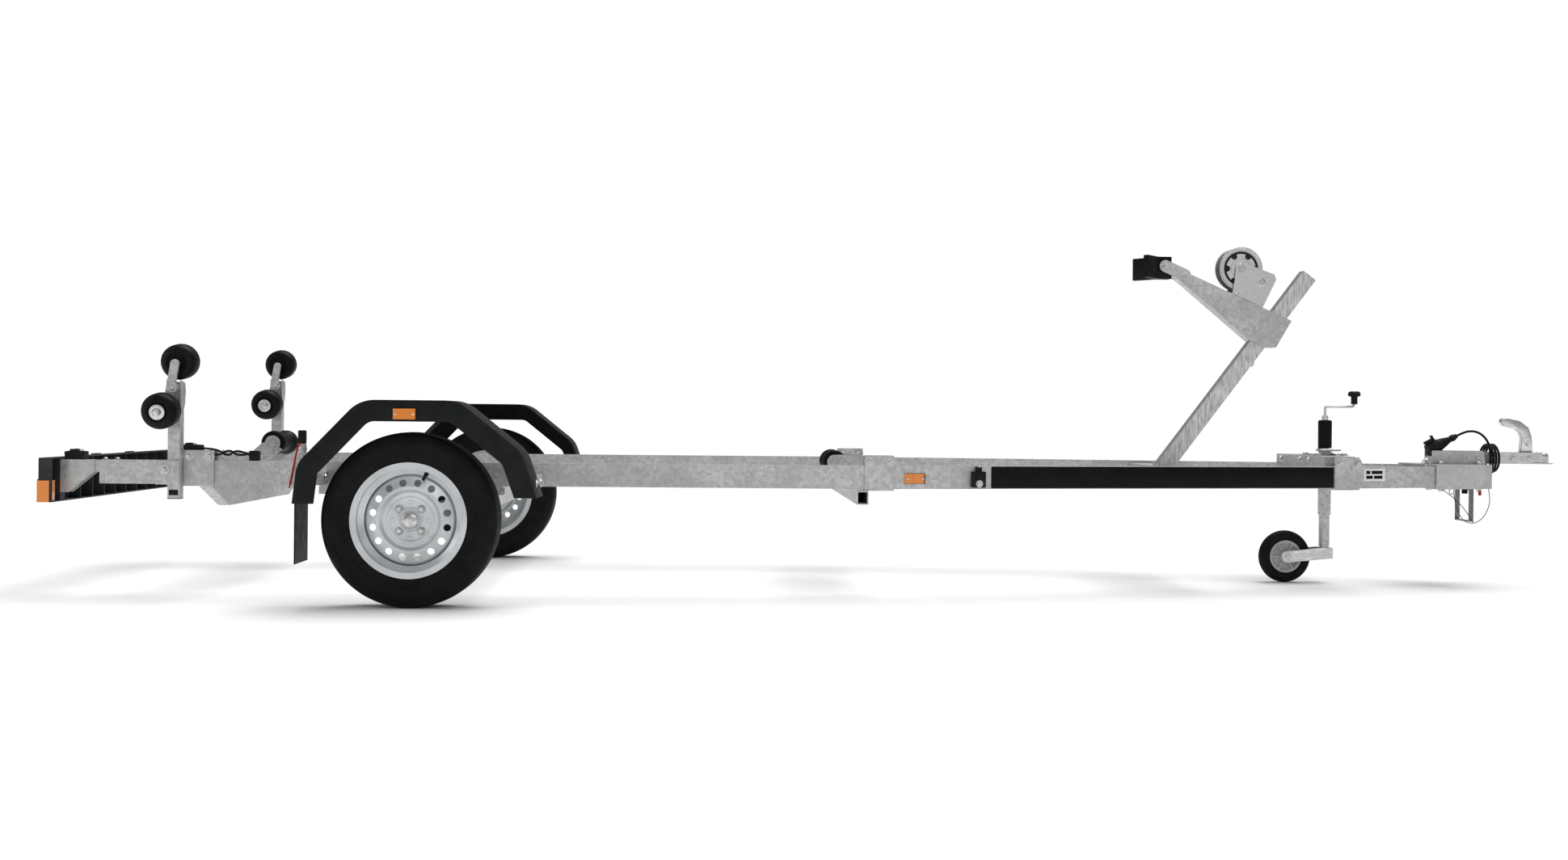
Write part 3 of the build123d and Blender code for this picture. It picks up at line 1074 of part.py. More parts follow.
jockey_spin = Axis((JOCKEY_AXLE_X, 0, JOCKEY_WHEEL_R), (0, 1, 0))
jockey_section = Plane(origin=(JOCKEY_AXLE_X, 0, JOCKEY_WHEEL_R), x_dir=(0, 1, 0), z_dir=(1, 0, 0))
half_w = JOCKEY_WHEEL_W / 2
with BuildPart() as jockey_tyre:
    with BuildSketch(jockey_section):
        with BuildLine():
            Polyline((-half_w + JOCKEY_EDGE, JOCKEY_RIM_R), (half_w - JOCKEY_EDGE, JOCKEY_RIM_R),
                     (half_w, JOCKEY_RIM_R + JOCKEY_SIDE_RISE),
                     (half_w, JOCKEY_WHEEL_R - JOCKEY_CROWN))
            ThreePointArc((half_w, JOCKEY_WHEEL_R - JOCKEY_CROWN), (0, JOCKEY_WHEEL_R),
                          (-half_w, JOCKEY_WHEEL_R - JOCKEY_CROWN))
            Polyline((-half_w, JOCKEY_WHEEL_R - JOCKEY_CROWN), (-half_w, JOCKEY_RIM_R + JOCKEY_SIDE_RISE),
                     (-half_w + JOCKEY_EDGE, JOCKEY_RIM_R))
        make_face()
    revolve(axis=jockey_spin)
keep(jockey_tyre.part, "jockey_tyre")

with BuildPart() as jockey_rim:
    rim_r = JOCKEY_RIM_R - SEAT_GAP
    with BuildSketch(jockey_section):
        Polygon((-half_w, JOCKEY_PIN_R + RUN_GAP), (half_w, JOCKEY_PIN_R + RUN_GAP), (half_w, JOCKEY_HUB_R),
                (JOCKEY_WEB_HALF, JOCKEY_WEB_FOOT_R), (JOCKEY_WEB_HALF, JOCKEY_WEB_R),
                (half_w - JOCKEY_EDGE, JOCKEY_SHELF_R), (half_w - JOCKEY_EDGE, rim_r),
                (JOCKEY_EDGE - half_w, rim_r), (JOCKEY_EDGE - half_w, JOCKEY_SHELF_R),
                (-JOCKEY_WEB_HALF, JOCKEY_WEB_R), (-JOCKEY_WEB_HALF, JOCKEY_WEB_FOOT_R),
                (-half_w, JOCKEY_HUB_R), align=None)
    revolve(axis=jockey_spin)
keep(jockey_rim.part, "jockey_rim")

with BuildPart() as jockey_crank:
    collar_z = JOCKEY_TOP + JOCKEY_CAP_H + SEAT_GAP
    with Locations((JOCKEY_X, 0, STEM_LOW + STEM_L)):
        Cylinder(CRANK_R, collar_z - STEM_LOW - STEM_L + KNOB_H,
                 align=(Align.CENTER, Align.CENTER, Align.MIN))
    with Locations((JOCKEY_X, 0, collar_z)):
        Cylinder(KNOB_NECK_R, KNOB_H, align=(Align.CENTER, Align.CENTER, Align.MIN))
    with BuildLine() as crank_path:
        FilletPolyline((JOCKEY_X, 0, collar_z + KNOB_H), (JOCKEY_X, 0, CRANK_Z),
                       (JOCKEY_X + CRANK_THROW, 0, CRANK_Z),
                       (JOCKEY_X + CRANK_THROW, 0, KNOB_TOP - KNOB_H), radius=2 * CRANK_ROD_R)
    with BuildSketch(Plane(origin=crank_path.line @ 0, z_dir=crank_path.line % 0)):
        Circle(CRANK_ROD_R)
    sweep(path=crank_path.line)
keep(jockey_crank.part, "jockey_crank")

with BuildPart() as jockey_knob:
    knob_low = CRANK_Z + 2 * CRANK_ROD_R
    with BuildSketch(Plane(origin=(JOCKEY_X + CRANK_THROW, 0, 0), x_dir=(1, 0, 0), z_dir=(0, -1, 0))):
        Polygon((CRANK_ROD_R + RUN_GAP, knob_low), (KNOB_NECK_R, knob_low), (KNOB_NECK_R, KNOB_TOP - KNOB_H),
                (KNOB_R, KNOB_TOP - KNOB_H + 4), (KNOB_R, KNOB_TOP - 6), (KNOB_R - 6, KNOB_TOP),
                (0, KNOB_TOP),
                (0, KNOB_TOP - KNOB_H + SEAT_GAP), (CRANK_ROD_R + RUN_GAP, KNOB_TOP - KNOB_H + SEAT_GAP),
                align=None)
    revolve(axis=Axis((JOCKEY_X + CRANK_THROW, 0, 0), (0, 0, 1)))
keep(jockey_knob.part, "jockey_knob")
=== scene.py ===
"""Dresses a single-axle roller boat trailer with its finishes and its small fittings.

Metres. +X points forward to the coupling, +Y to the left, +Z up, with the ground at zero.
"""

import json
from math import atan2, cos, hypot, pi, radians, sin

import bmesh
import bpy
from bpy.props import FloatProperty, FloatVectorProperty, IntProperty, PointerProperty
from mathutils import Matrix, Vector


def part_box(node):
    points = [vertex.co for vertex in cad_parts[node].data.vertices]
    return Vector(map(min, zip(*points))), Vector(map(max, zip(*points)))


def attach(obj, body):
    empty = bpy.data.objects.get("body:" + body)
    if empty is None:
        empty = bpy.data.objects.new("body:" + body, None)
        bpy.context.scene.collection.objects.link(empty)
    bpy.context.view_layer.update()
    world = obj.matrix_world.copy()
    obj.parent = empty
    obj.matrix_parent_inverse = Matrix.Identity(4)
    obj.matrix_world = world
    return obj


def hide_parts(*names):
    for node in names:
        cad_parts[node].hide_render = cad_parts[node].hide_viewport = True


bl_info = {
    "name": "Boat Trailer",
    "version": (1, 0, 0),
    "blender": (4, 5, 0),
    "location": "3D View > Sidebar > Trailer",
    "description": "Builds the finishes and fittings of a single-axle roller boat trailer",
    "category": "Object",
}

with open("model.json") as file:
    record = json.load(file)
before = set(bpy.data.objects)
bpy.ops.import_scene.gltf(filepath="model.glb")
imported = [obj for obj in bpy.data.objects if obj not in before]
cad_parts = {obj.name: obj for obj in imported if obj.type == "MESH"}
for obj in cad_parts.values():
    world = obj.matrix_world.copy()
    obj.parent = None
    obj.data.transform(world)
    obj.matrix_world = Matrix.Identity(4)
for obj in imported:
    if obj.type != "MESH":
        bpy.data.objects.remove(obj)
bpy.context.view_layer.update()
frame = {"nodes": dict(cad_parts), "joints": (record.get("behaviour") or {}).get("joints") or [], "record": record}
NODES = frame["nodes"]
SIDES = (("right", -1), ("left", 1))
SIDEWAYS = Vector((0, 1, 0))
OUTWARD = ((-1, -SIDEWAYS), (1, SIDEWAYS))
UPRIGHT = Vector((0, 0, 1))
FORWARD = Vector((1, 0, 0))

# The view: a picture of this size, the focal length and horizon in its pixels, and where the eye stands.
PICTURE_WIDTH = 1940
PICTURE_HEIGHT = 1064
CAMERA_FOCAL = 2017.0
CAMERA_HORIZON = 514.0
CAMERA_PLACE = Vector((-0.503, -6.21, 0.6254))
CAMERA_YAW = radians(2.44)
CAMERA_ROLL = radians(0.53)

# Where the frame's pieces stand: some read from the imported model, the rest given as numbers.
TYRE_LOW, TYRE_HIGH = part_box("tyre_right")
WHEEL_R = (TYRE_HIGH.z - TYRE_LOW.z) / 2
WHEEL_X = (TYRE_HIGH.x + TYRE_LOW.x) / 2
WHEEL_Y = abs(TYRE_HIGH.y + TYRE_LOW.y) / 2
DECK_LOW, DECK_TOP = (corner.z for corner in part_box("rail_right"))
RAIL_Y = 0.6
JOINT_AT = {joint["name"]: joint.get("pos_m") for joint in frame["joints"]}
POST_X = JOINT_AT["rocker_right_tilt"][0]
KEEL_BOLTS = {"rear": ((0.014, -0.028), (-0.09, -0.13), (-0.09, -0.08)),
              "mid": ((0.062, -0.012), (0.062, -0.06))}
AXLE_FRONT_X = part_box("axle_brackets")[1].x - 0.04
AXLE_REAR_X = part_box("axle_brackets")[0].x + 0.04
PANEL_REAR_X = 0.462
PANEL_FRONT_X = 1.772
CLAMP_X = 0.412
PLATE_X = 1.944
PLATE_LENGTH = 0.096
MARKER_BEAM_X = 0.188
MARKER_GUARD_X = -1.481
MARKER_WIDTH = 0.072
MARKER_HEIGHT = 0.036
ROLLER_R = 0.06
ROLLER_ROUND = 0.025
KEEL_BRACKET_SIDE = 0.108
NUT_CIRCLE_R = 0.049
MERGE = 0.00001

# Heads of the bolts: width across the flats, height, and whether a washer lies below.
M4 = (0.007, 0.002, False)
M5 = (0.008, 0.003, False)
M8 = (0.013, 0.006)
M10 = (0.017, 0.008)


# ---------------------------------------------------------------- finishes
def new_finish(name, metallic, roughness):
    """An empty surface: its material, node tree and shader."""
    material = bpy.data.materials.new(name)
    material.use_nodes = True
    tree = material.node_tree
    shader = tree.nodes["Principled BSDF"]
    shader.inputs["Metallic"].default_value = metallic
    shader.inputs["Roughness"].default_value = roughness
    return material, tree, shader


def new_node(tree, kind, point=None, **values):
    """Node with its inputs set, _ standing for a space in their names, and its vector linked in."""
    node = tree.nodes.new("ShaderNode" + kind)
    for name, value in values.items():
        node.inputs[name.replace("_", " ")].default_value = value
    if point is not None:
        tree.links.new(point, node.inputs["Vector"])
    return node


def object_point(tree):
    """Output that carries the place on the piece."""
    return new_node(tree, "TexCoord").outputs["Object"]


def mottle(tree, point, scale, detail=3.0, roughness=0.55):
    """Cloudy factor from 0 to 1."""
    return new_node(tree, "TexNoise", point, Scale=scale, Detail=detail, Roughness=roughness).outputs["Fac"]


def spread(tree, factor, low, high, to_low=0.0, to_high=1.0):
    """Stretch a factor from one range to another, clamped."""
    remap = new_node(tree, "MapRange", From_Min=low, From_Max=high, To_Min=to_low, To_Max=to_high)
    tree.links.new(factor, remap.inputs["Value"])
    return remap.outputs["Result"]


def blend_colours(tree, factor, first, second):
    """Colour between two, each a colour or an output."""
    mix = new_node(tree, "Mix")
    mix.data_type = "RGBA"
    tree.links.new(factor, mix.inputs["Factor"])
    for socket, value in ((mix.inputs[6], first), (mix.inputs[7], second)):
        if isinstance(value, bpy.types.NodeSocket):
            tree.links.new(value, socket)
        else:
            socket.default_value = (*value, 1.0)
    return mix.outputs[2]


def raise_grain(tree, shader, height, distance, strength=0.6):
    """Fine relief from a height factor."""
    bump = new_node(tree, "Bump", Strength=strength, Distance=distance)
    tree.links.new(height, bump.inputs["Height"])
    tree.links.new(bump.outputs["Normal"], shader.inputs["Normal"])


def zinc_finish(name, light, dark, metallic, roughness, spangle, relief=0.0004):
    """Hot-dip zinc: crystals of slightly different grey, and cloudy weathering."""
    material, tree, shader = new_finish(name, metallic, roughness)
    point = object_point(tree)
    crystals = new_node(tree, "TexVoronoi", point, Scale=spangle, Randomness=1.0)
    facets = new_node(tree, "SeparateColor")
    tree.links.new(crystals.outputs["Color"], facets.inputs["Color"])
    tone = blend_colours(tree, spread(tree, facets.outputs["Red"], 0.0, 1.0), light, dark)
    worn = shade(dark, 0.82)
    clouds = spread(tree, mottle(tree, point, 7.0, 5.0), 0.45, 0.75, 0.0, 0.75)
    tree.links.new(blend_colours(tree, clouds, tone, worn), shader.inputs["Base Color"])
    rough = spread(tree, facets.outputs["Green"], 0.0, 1.0, roughness - 0.08, roughness + 0.14)
    tree.links.new(rough, shader.inputs["Roughness"])
    raise_grain(tree, shader, mottle(tree, point, 120.0, 4.0), relief)
    return material


def moulded_finish(name, colour, lift, roughness, grain, relief, gloss=0.1):
    """Moulded plastic or rubber: fine grain, a little handling dust and an uneven sheen."""
    material, tree, shader = new_finish(name, 0.0, roughness)
    point = object_point(tree)
    dust = spread(tree, mottle(tree, point, 14.0, 6.0, 0.65), 0.42, 0.78)
    tree.links.new(blend_colours(tree, dust, colour, lift), shader.inputs["Base Color"])
    shader.inputs["Specular IOR Level"].default_value = gloss
    sheen = spread(tree, mottle(tree, point, 35.0), 0.3, 0.7, roughness - 0.07, roughness + 0.1)
    tree.links.new(sheen, shader.inputs["Roughness"])
    raise_grain(tree, shader, mottle(tree, point, grain, 2.0), relief, 0.5)
    return material


def paint_finish(name, colour, lift, metallic, roughness, flake, coat=0.3):
    """Sprayed metal: fine flake, faint orange peel and soft dirt."""
    material, tree, shader = new_finish(name, metallic, roughness)
    point = object_point(tree)
    grime = spread(tree, mottle(tree, point, 9.0, 6.0, 0.6), 0.4, 0.72)
    tree.links.new(blend_colours(tree, grime, colour, lift), shader.inputs["Base Color"])
    gloss = spread(tree, mottle(tree, point, flake, 1.0), 0.3, 0.7, roughness - 0.06, roughness + 0.08)
    tree.links.new(gloss, shader.inputs["Roughness"])
    shader.inputs["Coat Weight"].default_value = coat
    shader.inputs["Coat Roughness"].default_value = 0.2
    raise_grain(tree, shader, mottle(tree, point, 260.0, 1.0), 0.00015, 0.4)
    return material


def bright_finish(name, colour, lift, roughness, streaks):
    """Bright zinc-plated steel with drawn streaks."""
    material, tree, shader = new_finish(name, 0.95, roughness)
    point = object_point(tree)
    drawn = new_node(tree, "Mapping", point, Scale=streaks)
    lines = mottle(tree, drawn.outputs["Vector"], 40.0, 3.0)
    tree.links.new(blend_colours(tree, spread(tree, lines, 0.35, 0.7), colour, lift),
                   shader.inputs["Base Color"])
    tree.links.new(spread(tree, lines, 0.3, 0.7, roughness - 0.05, roughness + 0.12),
                   shader.inputs["Roughness"])
    raise_grain(tree, shader, mottle(tree, point, 420.0, 2.0), 0.0001, 0.4)
    return material


def lens_finish(name, colour, deep, prism):
    """Clear coloured plastic with moulded prisms behind a glossy face."""
    material, tree, shader = new_finish(name, 0.0, 0.16)
    point = object_point(tree)
    cells = new_node(tree, "TexVoronoi", point, Scale=prism, Randomness=0.0)
    cells.distance = "CHEBYCHEV"
    depth = spread(tree, cells.outputs["Distance"], 0.1, 0.55)
    tree.links.new(blend_colours(tree, depth, colour, deep), shader.inputs["Base Color"])
    shader.inputs["Coat Weight"].default_value = 0.7
    shader.inputs["Coat Roughness"].default_value = 0.05
    raise_grain(tree, shader, cells.outputs["Distance"], 0.0012, 0.5)
    return material


FINISHES = {}


def shade(colour, part):
    """A colour made darker."""
    return tuple(part * value for value in colour)


def make_finishes(look):
    """Every surface of the trailer, by its slot in the record or its own name."""
    zinc = tuple(look.zinc_colour)
    dull = shade(zinc, 0.72)
    black = tuple(look.moulding_colour)
    grey = tuple(value + 0.008 for value in black)
    FINISHES.update({
        "galvanised": zinc_finish("hot_dip_zinc", zinc, dull, 0.55, 0.4, look.spangle_count),
        "clear_zinc": zinc_finish("clear_zinc", shade(zinc, 0.96), shade(zinc, 0.8), 0.6, 0.36, 60.0),
        # Zinc darkened to the stirrup's look in the shade under the nose: painted shade on the stirrup.
        "painted_shade_zinc": zinc_finish("painted_shade_zinc", (0.26, 0.26, 0.255), (0.16, 0.16, 0.155), 0.6, 0.45, 60.0),
        "rim_steel": paint_finish("silver_wheel_paint", (0.66, 0.68, 0.69), (0.5, 0.51, 0.52), 0.55, 0.36,
                                  900.0),
        "amber_lens": lens_finish("amber_lens", tuple(look.amber_colour), (0.62, 0.16, 0.01), 130.0),
        "red_lens": lens_finish("red_lens", (0.62, 0.012, 0.01), (0.22, 0.004, 0.004), 130.0),
    })
    # slot, name, colour, second colour, roughness, streaks
    for slot, *values in (
            ("zinc_plate", "bright_zinc", (0.72, 0.72, 0.7), (0.5, 0.5, 0.49), 0.3, (1.0, 1.0, 6.0)),
            ("post_zinc", "post_zinc", (0.7, 0.7, 0.69), (0.34, 0.34, 0.335), 0.42, (3.0, 3.0, 0.5)),
            ("fastener", "plated_fastener", (0.66, 0.66, 0.65), (0.44, 0.44, 0.43), 0.26, (3.0, 3.0, 3.0)),
            ("wire_steel", "stranded_wire", (0.1, 0.06, 0.07), (0.05, 0.035, 0.04), 0.42, (4.0, 4.0, 4.0))):
        FINISHES[slot] = bright_finish(*values)
    # slot, name, colour, dust, roughness, grain, relief
    soot, dust = (0.006, 0.006, 0.0065), (0.012, 0.012, 0.0125)
    for slot, *values in (
            ("tyre_rubber", "tyre_rubber", soot, (0.012, 0.012, 0.012), 0.6, 340.0, 0.0004),
            ("black_rubber", "roller_rubber", (0.005, 0.005, 0.0055), dust, 0.42, 420.0, 0.0003),
            ("black_plastic", "black_moulding", black, grey, 0.52, 600.0, 0.0004),
            ("dark_grey_plastic", "board_moulding", (0.026, 0.028, 0.031), (0.045, 0.047, 0.05), 0.45, 520.0,
             0.0003),
            ("cable_black", "cable_sheath", soot, dust, 0.42, 300.0, 0.0001),
            ("white_paint", "jockey_rim_plastic", (0.42, 0.43, 0.44), (0.3, 0.31, 0.32), 0.42, 500.0, 0.0002),
            ("black_panel", "black_panel", (0.004, 0.004, 0.0045), (0.008, 0.008, 0.0085), 0.34, 500.0,
             0.0001),
            ("webbing", "winch_webbing", (0.03, 0.031, 0.034), (0.06, 0.06, 0.064), 0.75, 900.0, 0.0005),
            ("plate_white", "blank_plate", (0.78, 0.78, 0.76), (0.66, 0.66, 0.64), 0.3, 300.0, 0.0001),
            ("wire_red", "red_wire", (0.42, 0.015, 0.02), (0.3, 0.01, 0.015), 0.4, 300.0, 0.0001)):
        FINISHES[slot] = moulded_finish(*values)


# ---------------------------------------------------------------- shapes
def link_object(name, data):
    """Object in the scene for a mesh, cord, lamp or camera."""
    thing = bpy.data.objects.new(name, data)
    bpy.context.scene.collection.objects.link(thing)
    return thing


def finish_piece(bm, name, finish, body="chassis", replaces=None, smooth=True, turn=radians(35)):
    """Close a mesh, give it its surface, let it ride on a body and take the place of a node."""
    bmesh.ops.remove_doubles(bm, verts=bm.verts[:], dist=MERGE)
    bmesh.ops.recalc_face_normals(bm, faces=bm.faces[:])
    for face in bm.faces:
        face.smooth = smooth
    for edge in bm.edges:
        edge.smooth = len(edge.link_faces) == 2 and edge.calc_face_angle(pi) < turn
    mesh = bpy.data.meshes.new(name)
    bm.to_mesh(mesh)
    bm.free()
    mesh.materials.append(FINISHES[finish])
    piece = link_object(name, mesh)
    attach(piece, body)
    if replaces:
        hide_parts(replaces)


def mm(*pairs):
    """Points of an outline or profile, given in millimetres."""
    return [(first / 1000, second / 1000) for first, second in pairs]


def rectangle(left, low, right, high):
    """Outline of a rectangle."""
    return [(left, low), (right, low), (right, high), (left, high)]


def ring_profile(radius, wire):
    """Profile of a ring bent from round wire."""
    angles = [radians(degrees) for degrees in range(0, 361, 45)]
    return [(radius + wire * cos(angle), wire * sin(angle)) for angle in angles]


def side_spot(degrees, radius=1.0):
    """Offset in the plane seen from the side, at an angle above forward."""
    return Vector((radius * cos(radians(degrees)), 0, radius * sin(radians(degrees))))


def facing(centre, axis):
    """Matrix that stands a shape made along Z on an axis."""
    return Matrix.Translation(centre) @ Vector(axis).to_track_quat("Z", "Y").to_matrix().to_4x4()


def add_bar(bm, start, end, radius, sides=24, tip=None):
    """Round bar between two points; tip gives it another radius at its end."""
    start, end = Vector(start), Vector(end)
    bmesh.ops.create_cone(bm, cap_ends=True, segments=sides, radius1=radius,
                          radius2=radius if tip is None else tip, depth=(end - start).length,
                          matrix=facing((start + end) / 2, end - start))


def add_block(bm, centre, size, edge=0.0, turn=None):
    """Block with eased edges, turned by a matrix if one is given."""
    place = Matrix.Translation(centre) @ (turn or Matrix.Identity(4)) @ Matrix.Diagonal((*size, 1.0))
    made = bmesh.ops.create_cube(bm, size=1.0, matrix=place)
    if edge:
        ease(bm, list(dict.fromkeys(side for vert in made["verts"] for side in vert.link_edges)), edge)


def ease(bm, edges, width, segments=2):
    """Round edges off."""
    bmesh.ops.bevel(bm, geom=edges, offset=width, offset_type="OFFSET", segments=segments, profile=0.5,
                    affect="EDGES", material=-1, clamp_overlap=True)


def eased_copy(node, least_turn, width, segments=2):
    """Mesh of a node, rounded off where its faces turn by more than so many degrees."""
    bm = bmesh.new()
    bm.from_mesh(NODES[node].data)
    bmesh.ops.remove_doubles(bm, verts=bm.verts[:], dist=0.00005)
    bmesh.ops.dissolve_limit(bm, angle_limit=radians(1), verts=bm.verts[:], edges=bm.edges[:])
    inner = [edge for edge in bm.edges if len(edge.link_faces) == 2]
    ease(bm, [edge for edge in inner if edge.calc_face_angle(0) > radians(least_turn)], width, segments)
    return bm


def add_plate(bm, outline, origin, across, up, thickness, edge=0.0):
    """Flat plate from an outline given along two directions, thickened along their normal."""
    across, up = Vector(across), Vector(up)
    verts = [bm.verts.new(Vector(origin) + across * x + up * y) for x, y in outline]
    face = bm.faces.new(verts)
    out = across.cross(up).normalized()
    grown = bmesh.ops.extrude_face_region(bm, geom=[face])
    tops = [item for item in grown["geom"] if isinstance(item, bmesh.types.BMVert)]
    bmesh.ops.translate(bm, verts=tops, vec=out * thickness)
    if edge:
        ring = [item for item in grown["geom"] if isinstance(item, bmesh.types.BMEdge)]
        ease(bm, ring, edge)


def add_turned(bm, profile, centre, axis, steps=48, radial=None):
    """Shape turned from a profile of (radius, along) points; the ends may lie on the axis."""
    axis = Vector(axis).normalized()
    radial = Vector(radial) if radial else axis.orthogonal().normalized()
    centre = Vector(centre)
    before = set(bm.verts)
    verts = [bm.verts.new(centre + radial * radius + axis * along) for radius, along in profile]
    edges = [bm.edges.new(pair) for pair in zip(verts, verts[1:])]
    bmesh.ops.spin(bm, geom=verts + edges, cent=centre, axis=axis, dvec=(0, 0, 0), angle=2 * pi, steps=steps,
                   use_merge=True, use_duplicate=False)
    bmesh.ops.remove_doubles(bm, verts=[vert for vert in bm.verts if vert not in before], dist=MERGE)


def add_hex(bm, at, out, across, height, washer=True):
    """Hexagon head or nut on a face, chamfered, on its washer."""
    at, out = Vector(at), Vector(out).normalized()
    radius = across / 2 / cos(pi / 6)
    lift = 0.0
    if washer:
        lift = 0.12 * across
        add_turned(bm, [(0, 0), (0.98 * across, 0), (1.0 * across, 0.3 * lift), (0.97 * across, lift),
                        (0, lift)], at, out, 28)
    add_bar(bm, at + out * lift, at + out * (lift + 0.82 * height), radius, 6)
    add_bar(bm, at + out * (lift + 0.82 * height), at + out * (lift + height), radius, 6, tip=0.8 * radius)


def add_thread_end(bm, at, out, radius, length):
    """Bolt end that stands out of its nut."""
    at, out = Vector(at), Vector(out).normalized()
    rings = max(3, int(length / (0.35 * radius)))
    profile = [(0, 0)]
    for ring in range(rings):
        start = length * ring / rings
        profile += [(radius, start), (0.86 * radius, start + 0.5 * length / rings)]
    add_turned(bm, [*profile, (0.8 * radius, length), (0, length)], at, out, 20)


def pin_edges(points):
    """Plan-view normal of a straight run, pointing to its left."""
    (x0, y0), (x1, y1) = points
    length = hypot(x1 - x0, y1 - y0)
    return Vector((y0 - y1, x1 - x0, 0)) / length


def cord_curve(name, points, diameter, finish, replaces=None):
    """Smooth cord through a row of control points."""
    data = bpy.data.curves.new(name, "CURVE")
    data.dimensions = "3D"
    data.bevel_depth = diameter / 2
    data.bevel_resolution = 4
    data.resolution_u = 12
    data.use_fill_caps = True
    spline = data.splines.new("NURBS")
    spline.points.add(len(points) - 1)
    for point, place in zip(spline.points, points):
        point.co = (*place, 1.0)
    spline.order_u = 3
    spline.use_endpoint_u = True
    data.materials.append(FINISHES[finish])
    piece = link_object(name, data)
    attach(piece, "chassis")
    if replaces:
        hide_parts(replaces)
    return piece


# ---------------------------------------------------------------- sizes and colours a user may change
def colour_setting(name, description, default):
    """Colour that a user may change."""
    return FloatVectorProperty(name=name, description=description, subtype="COLOR", default=default, min=0,
                               max=1)


class TrailerLook(bpy.types.PropertyGroup):
    """Colours and small sizes of the trailer's fittings."""

    zinc_colour: colour_setting("Zinc", "Colour of the hot-dip zinc", (0.58, 0.585, 0.575))
    spangle_count: FloatProperty(name="Spangles", description="Zinc crystals per metre", default=85.0, min=5,
                                 max=400)
    moulding_colour: colour_setting("Mouldings", "Colour of the black mouldings", (0.01, 0.0108, 0.0112))
    amber_colour: colour_setting("Amber", "Colour of the amber lenses", (0.95, 0.3, 0.015))
    tread_depth: FloatProperty(name="Tread depth", description="Depth of the tyre's grooves", default=0.006,
                               min=0.001, max=0.009, unit="LENGTH")
    tread_blocks: IntProperty(name="Tread blocks", description="Blocks round one tyre", default=72, min=24,
                              max=120)
    bolt_size: FloatProperty(name="Bolt size", description="Hexagon size of the frame bolts", default=0.018,
                             min=0.01, max=0.024, unit="LENGTH")
    floor_colour: colour_setting("Floor", "Colour of the floor", (0.995, 0.995, 0.995))
    soft_light: FloatProperty(name="Soft light", description="Strength of the studio's even light",
                              default=0.3, min=0, max=4)
    sun_light: FloatProperty(name="High light", description="Strength of the light from above", default=2.6,
                             min=0, max=10)


class TRAILER_OT_frame_finish(bpy.types.Operator):
    """Give every piece of the frame its finish"""

    bl_idname = "trailer.frame_finish"
    bl_label = "Frame Finishes"

    def execute(self, context):
        make_finishes(context.scene.trailer_look)
        for entry in frame["record"]["subparts"]:
            node = NODES[entry["node"]]
            node.data.materials.clear()
            node.data.materials.append(FINISHES[entry["material_slot"]])
        # The stirrup takes the zinc darkened with painted shade.
        for name, finish in (("nose_box", "clear_zinc"), ("coupling_channel", "clear_zinc"),
                             ("light_arms", "clear_zinc"), ("winch_post", "post_zinc"),
                             ("stirrup", "painted_shade_zinc")):
            NODES[name].data.materials[0] = FINISHES[finish]
        return {"FINISHED"}


# Middle line of the left-hand beams in plan, and the U saddles along it.
BEAM_PATH = ((-2.573, RAIL_Y), (0.065, RAIL_Y), (1.83, 0.27), (2.464, 0.068))
BEAM_HALF = 0.02
SADDLE_FACE = 0.0263
SADDLE_CENTRES = (-2.242, 0.065, 1.83)
BOLT_OFFSET = 0.035


def beam_spot(x, sign, shift, z):
    """Point beside a beam at a distance outboard of its middle line, and the way outboard there."""
    for start, end in zip(BEAM_PATH, BEAM_PATH[1:]):
        if x <= end[0] or end is BEAM_PATH[-1]:
            out = pin_edges((start, end))
            y = start[1] + (end[1] - start[1]) * (x - start[0]) / (end[0] - start[0])
            break
    spot = Vector((x, y, z)) + out * shift
    return Vector((spot.x, sign * spot.y, spot.z)), Vector((out.x, sign * out.y, 0))


class TRAILER_OT_saddle_bolts(bpy.types.Operator):
    """Bolt the U saddles across the beams"""

    bl_idname = "trailer.saddle_bolts"
    bl_label = "Saddle Bolts"

    def execute(self, context):
        size = context.scene.trailer_look.bolt_size
        bm = bmesh.new()
        for x in SADDLE_CENTRES:
            for shift in (-BOLT_OFFSET, BOLT_OFFSET):
                for _, sign in SIDES:
                    z = DECK_TOP + 0.013
                    outer, out = beam_spot(x + shift, sign, SADDLE_FACE, z)
                    inner, _ = beam_spot(x + shift, sign, -SADDLE_FACE, z)
                    add_bar(bm, inner, outer, 0.006, 16)
                    add_hex(bm, outer, out, size, 0.0075)
                    add_hex(bm, inner, -out, size, 0.009)
                    add_thread_end(bm, inner - out * 0.01, -out, 0.006, 0.008)
        finish_piece(bm, "saddle_bolts", "fastener")

        bm = bmesh.new()
        for _, sign in SIDES:
            spot = Vector((-2.342, sign * 0.667, 0.424))
            add_hex(bm, spot, SIDEWAYS * sign, size, 0.008)
            add_bar(bm, spot - SIDEWAYS * sign * 0.02, spot, 0.006, 16)
            for x in (AXLE_FRONT_X, AXLE_REAR_X):
                add_hex(bm, (x, sign * 0.615, DECK_LOW - 0.03), -UPRIGHT, size, 0.01)
        finish_piece(bm, "frame_bolts", "fastener")
        return {"FINISHED"}


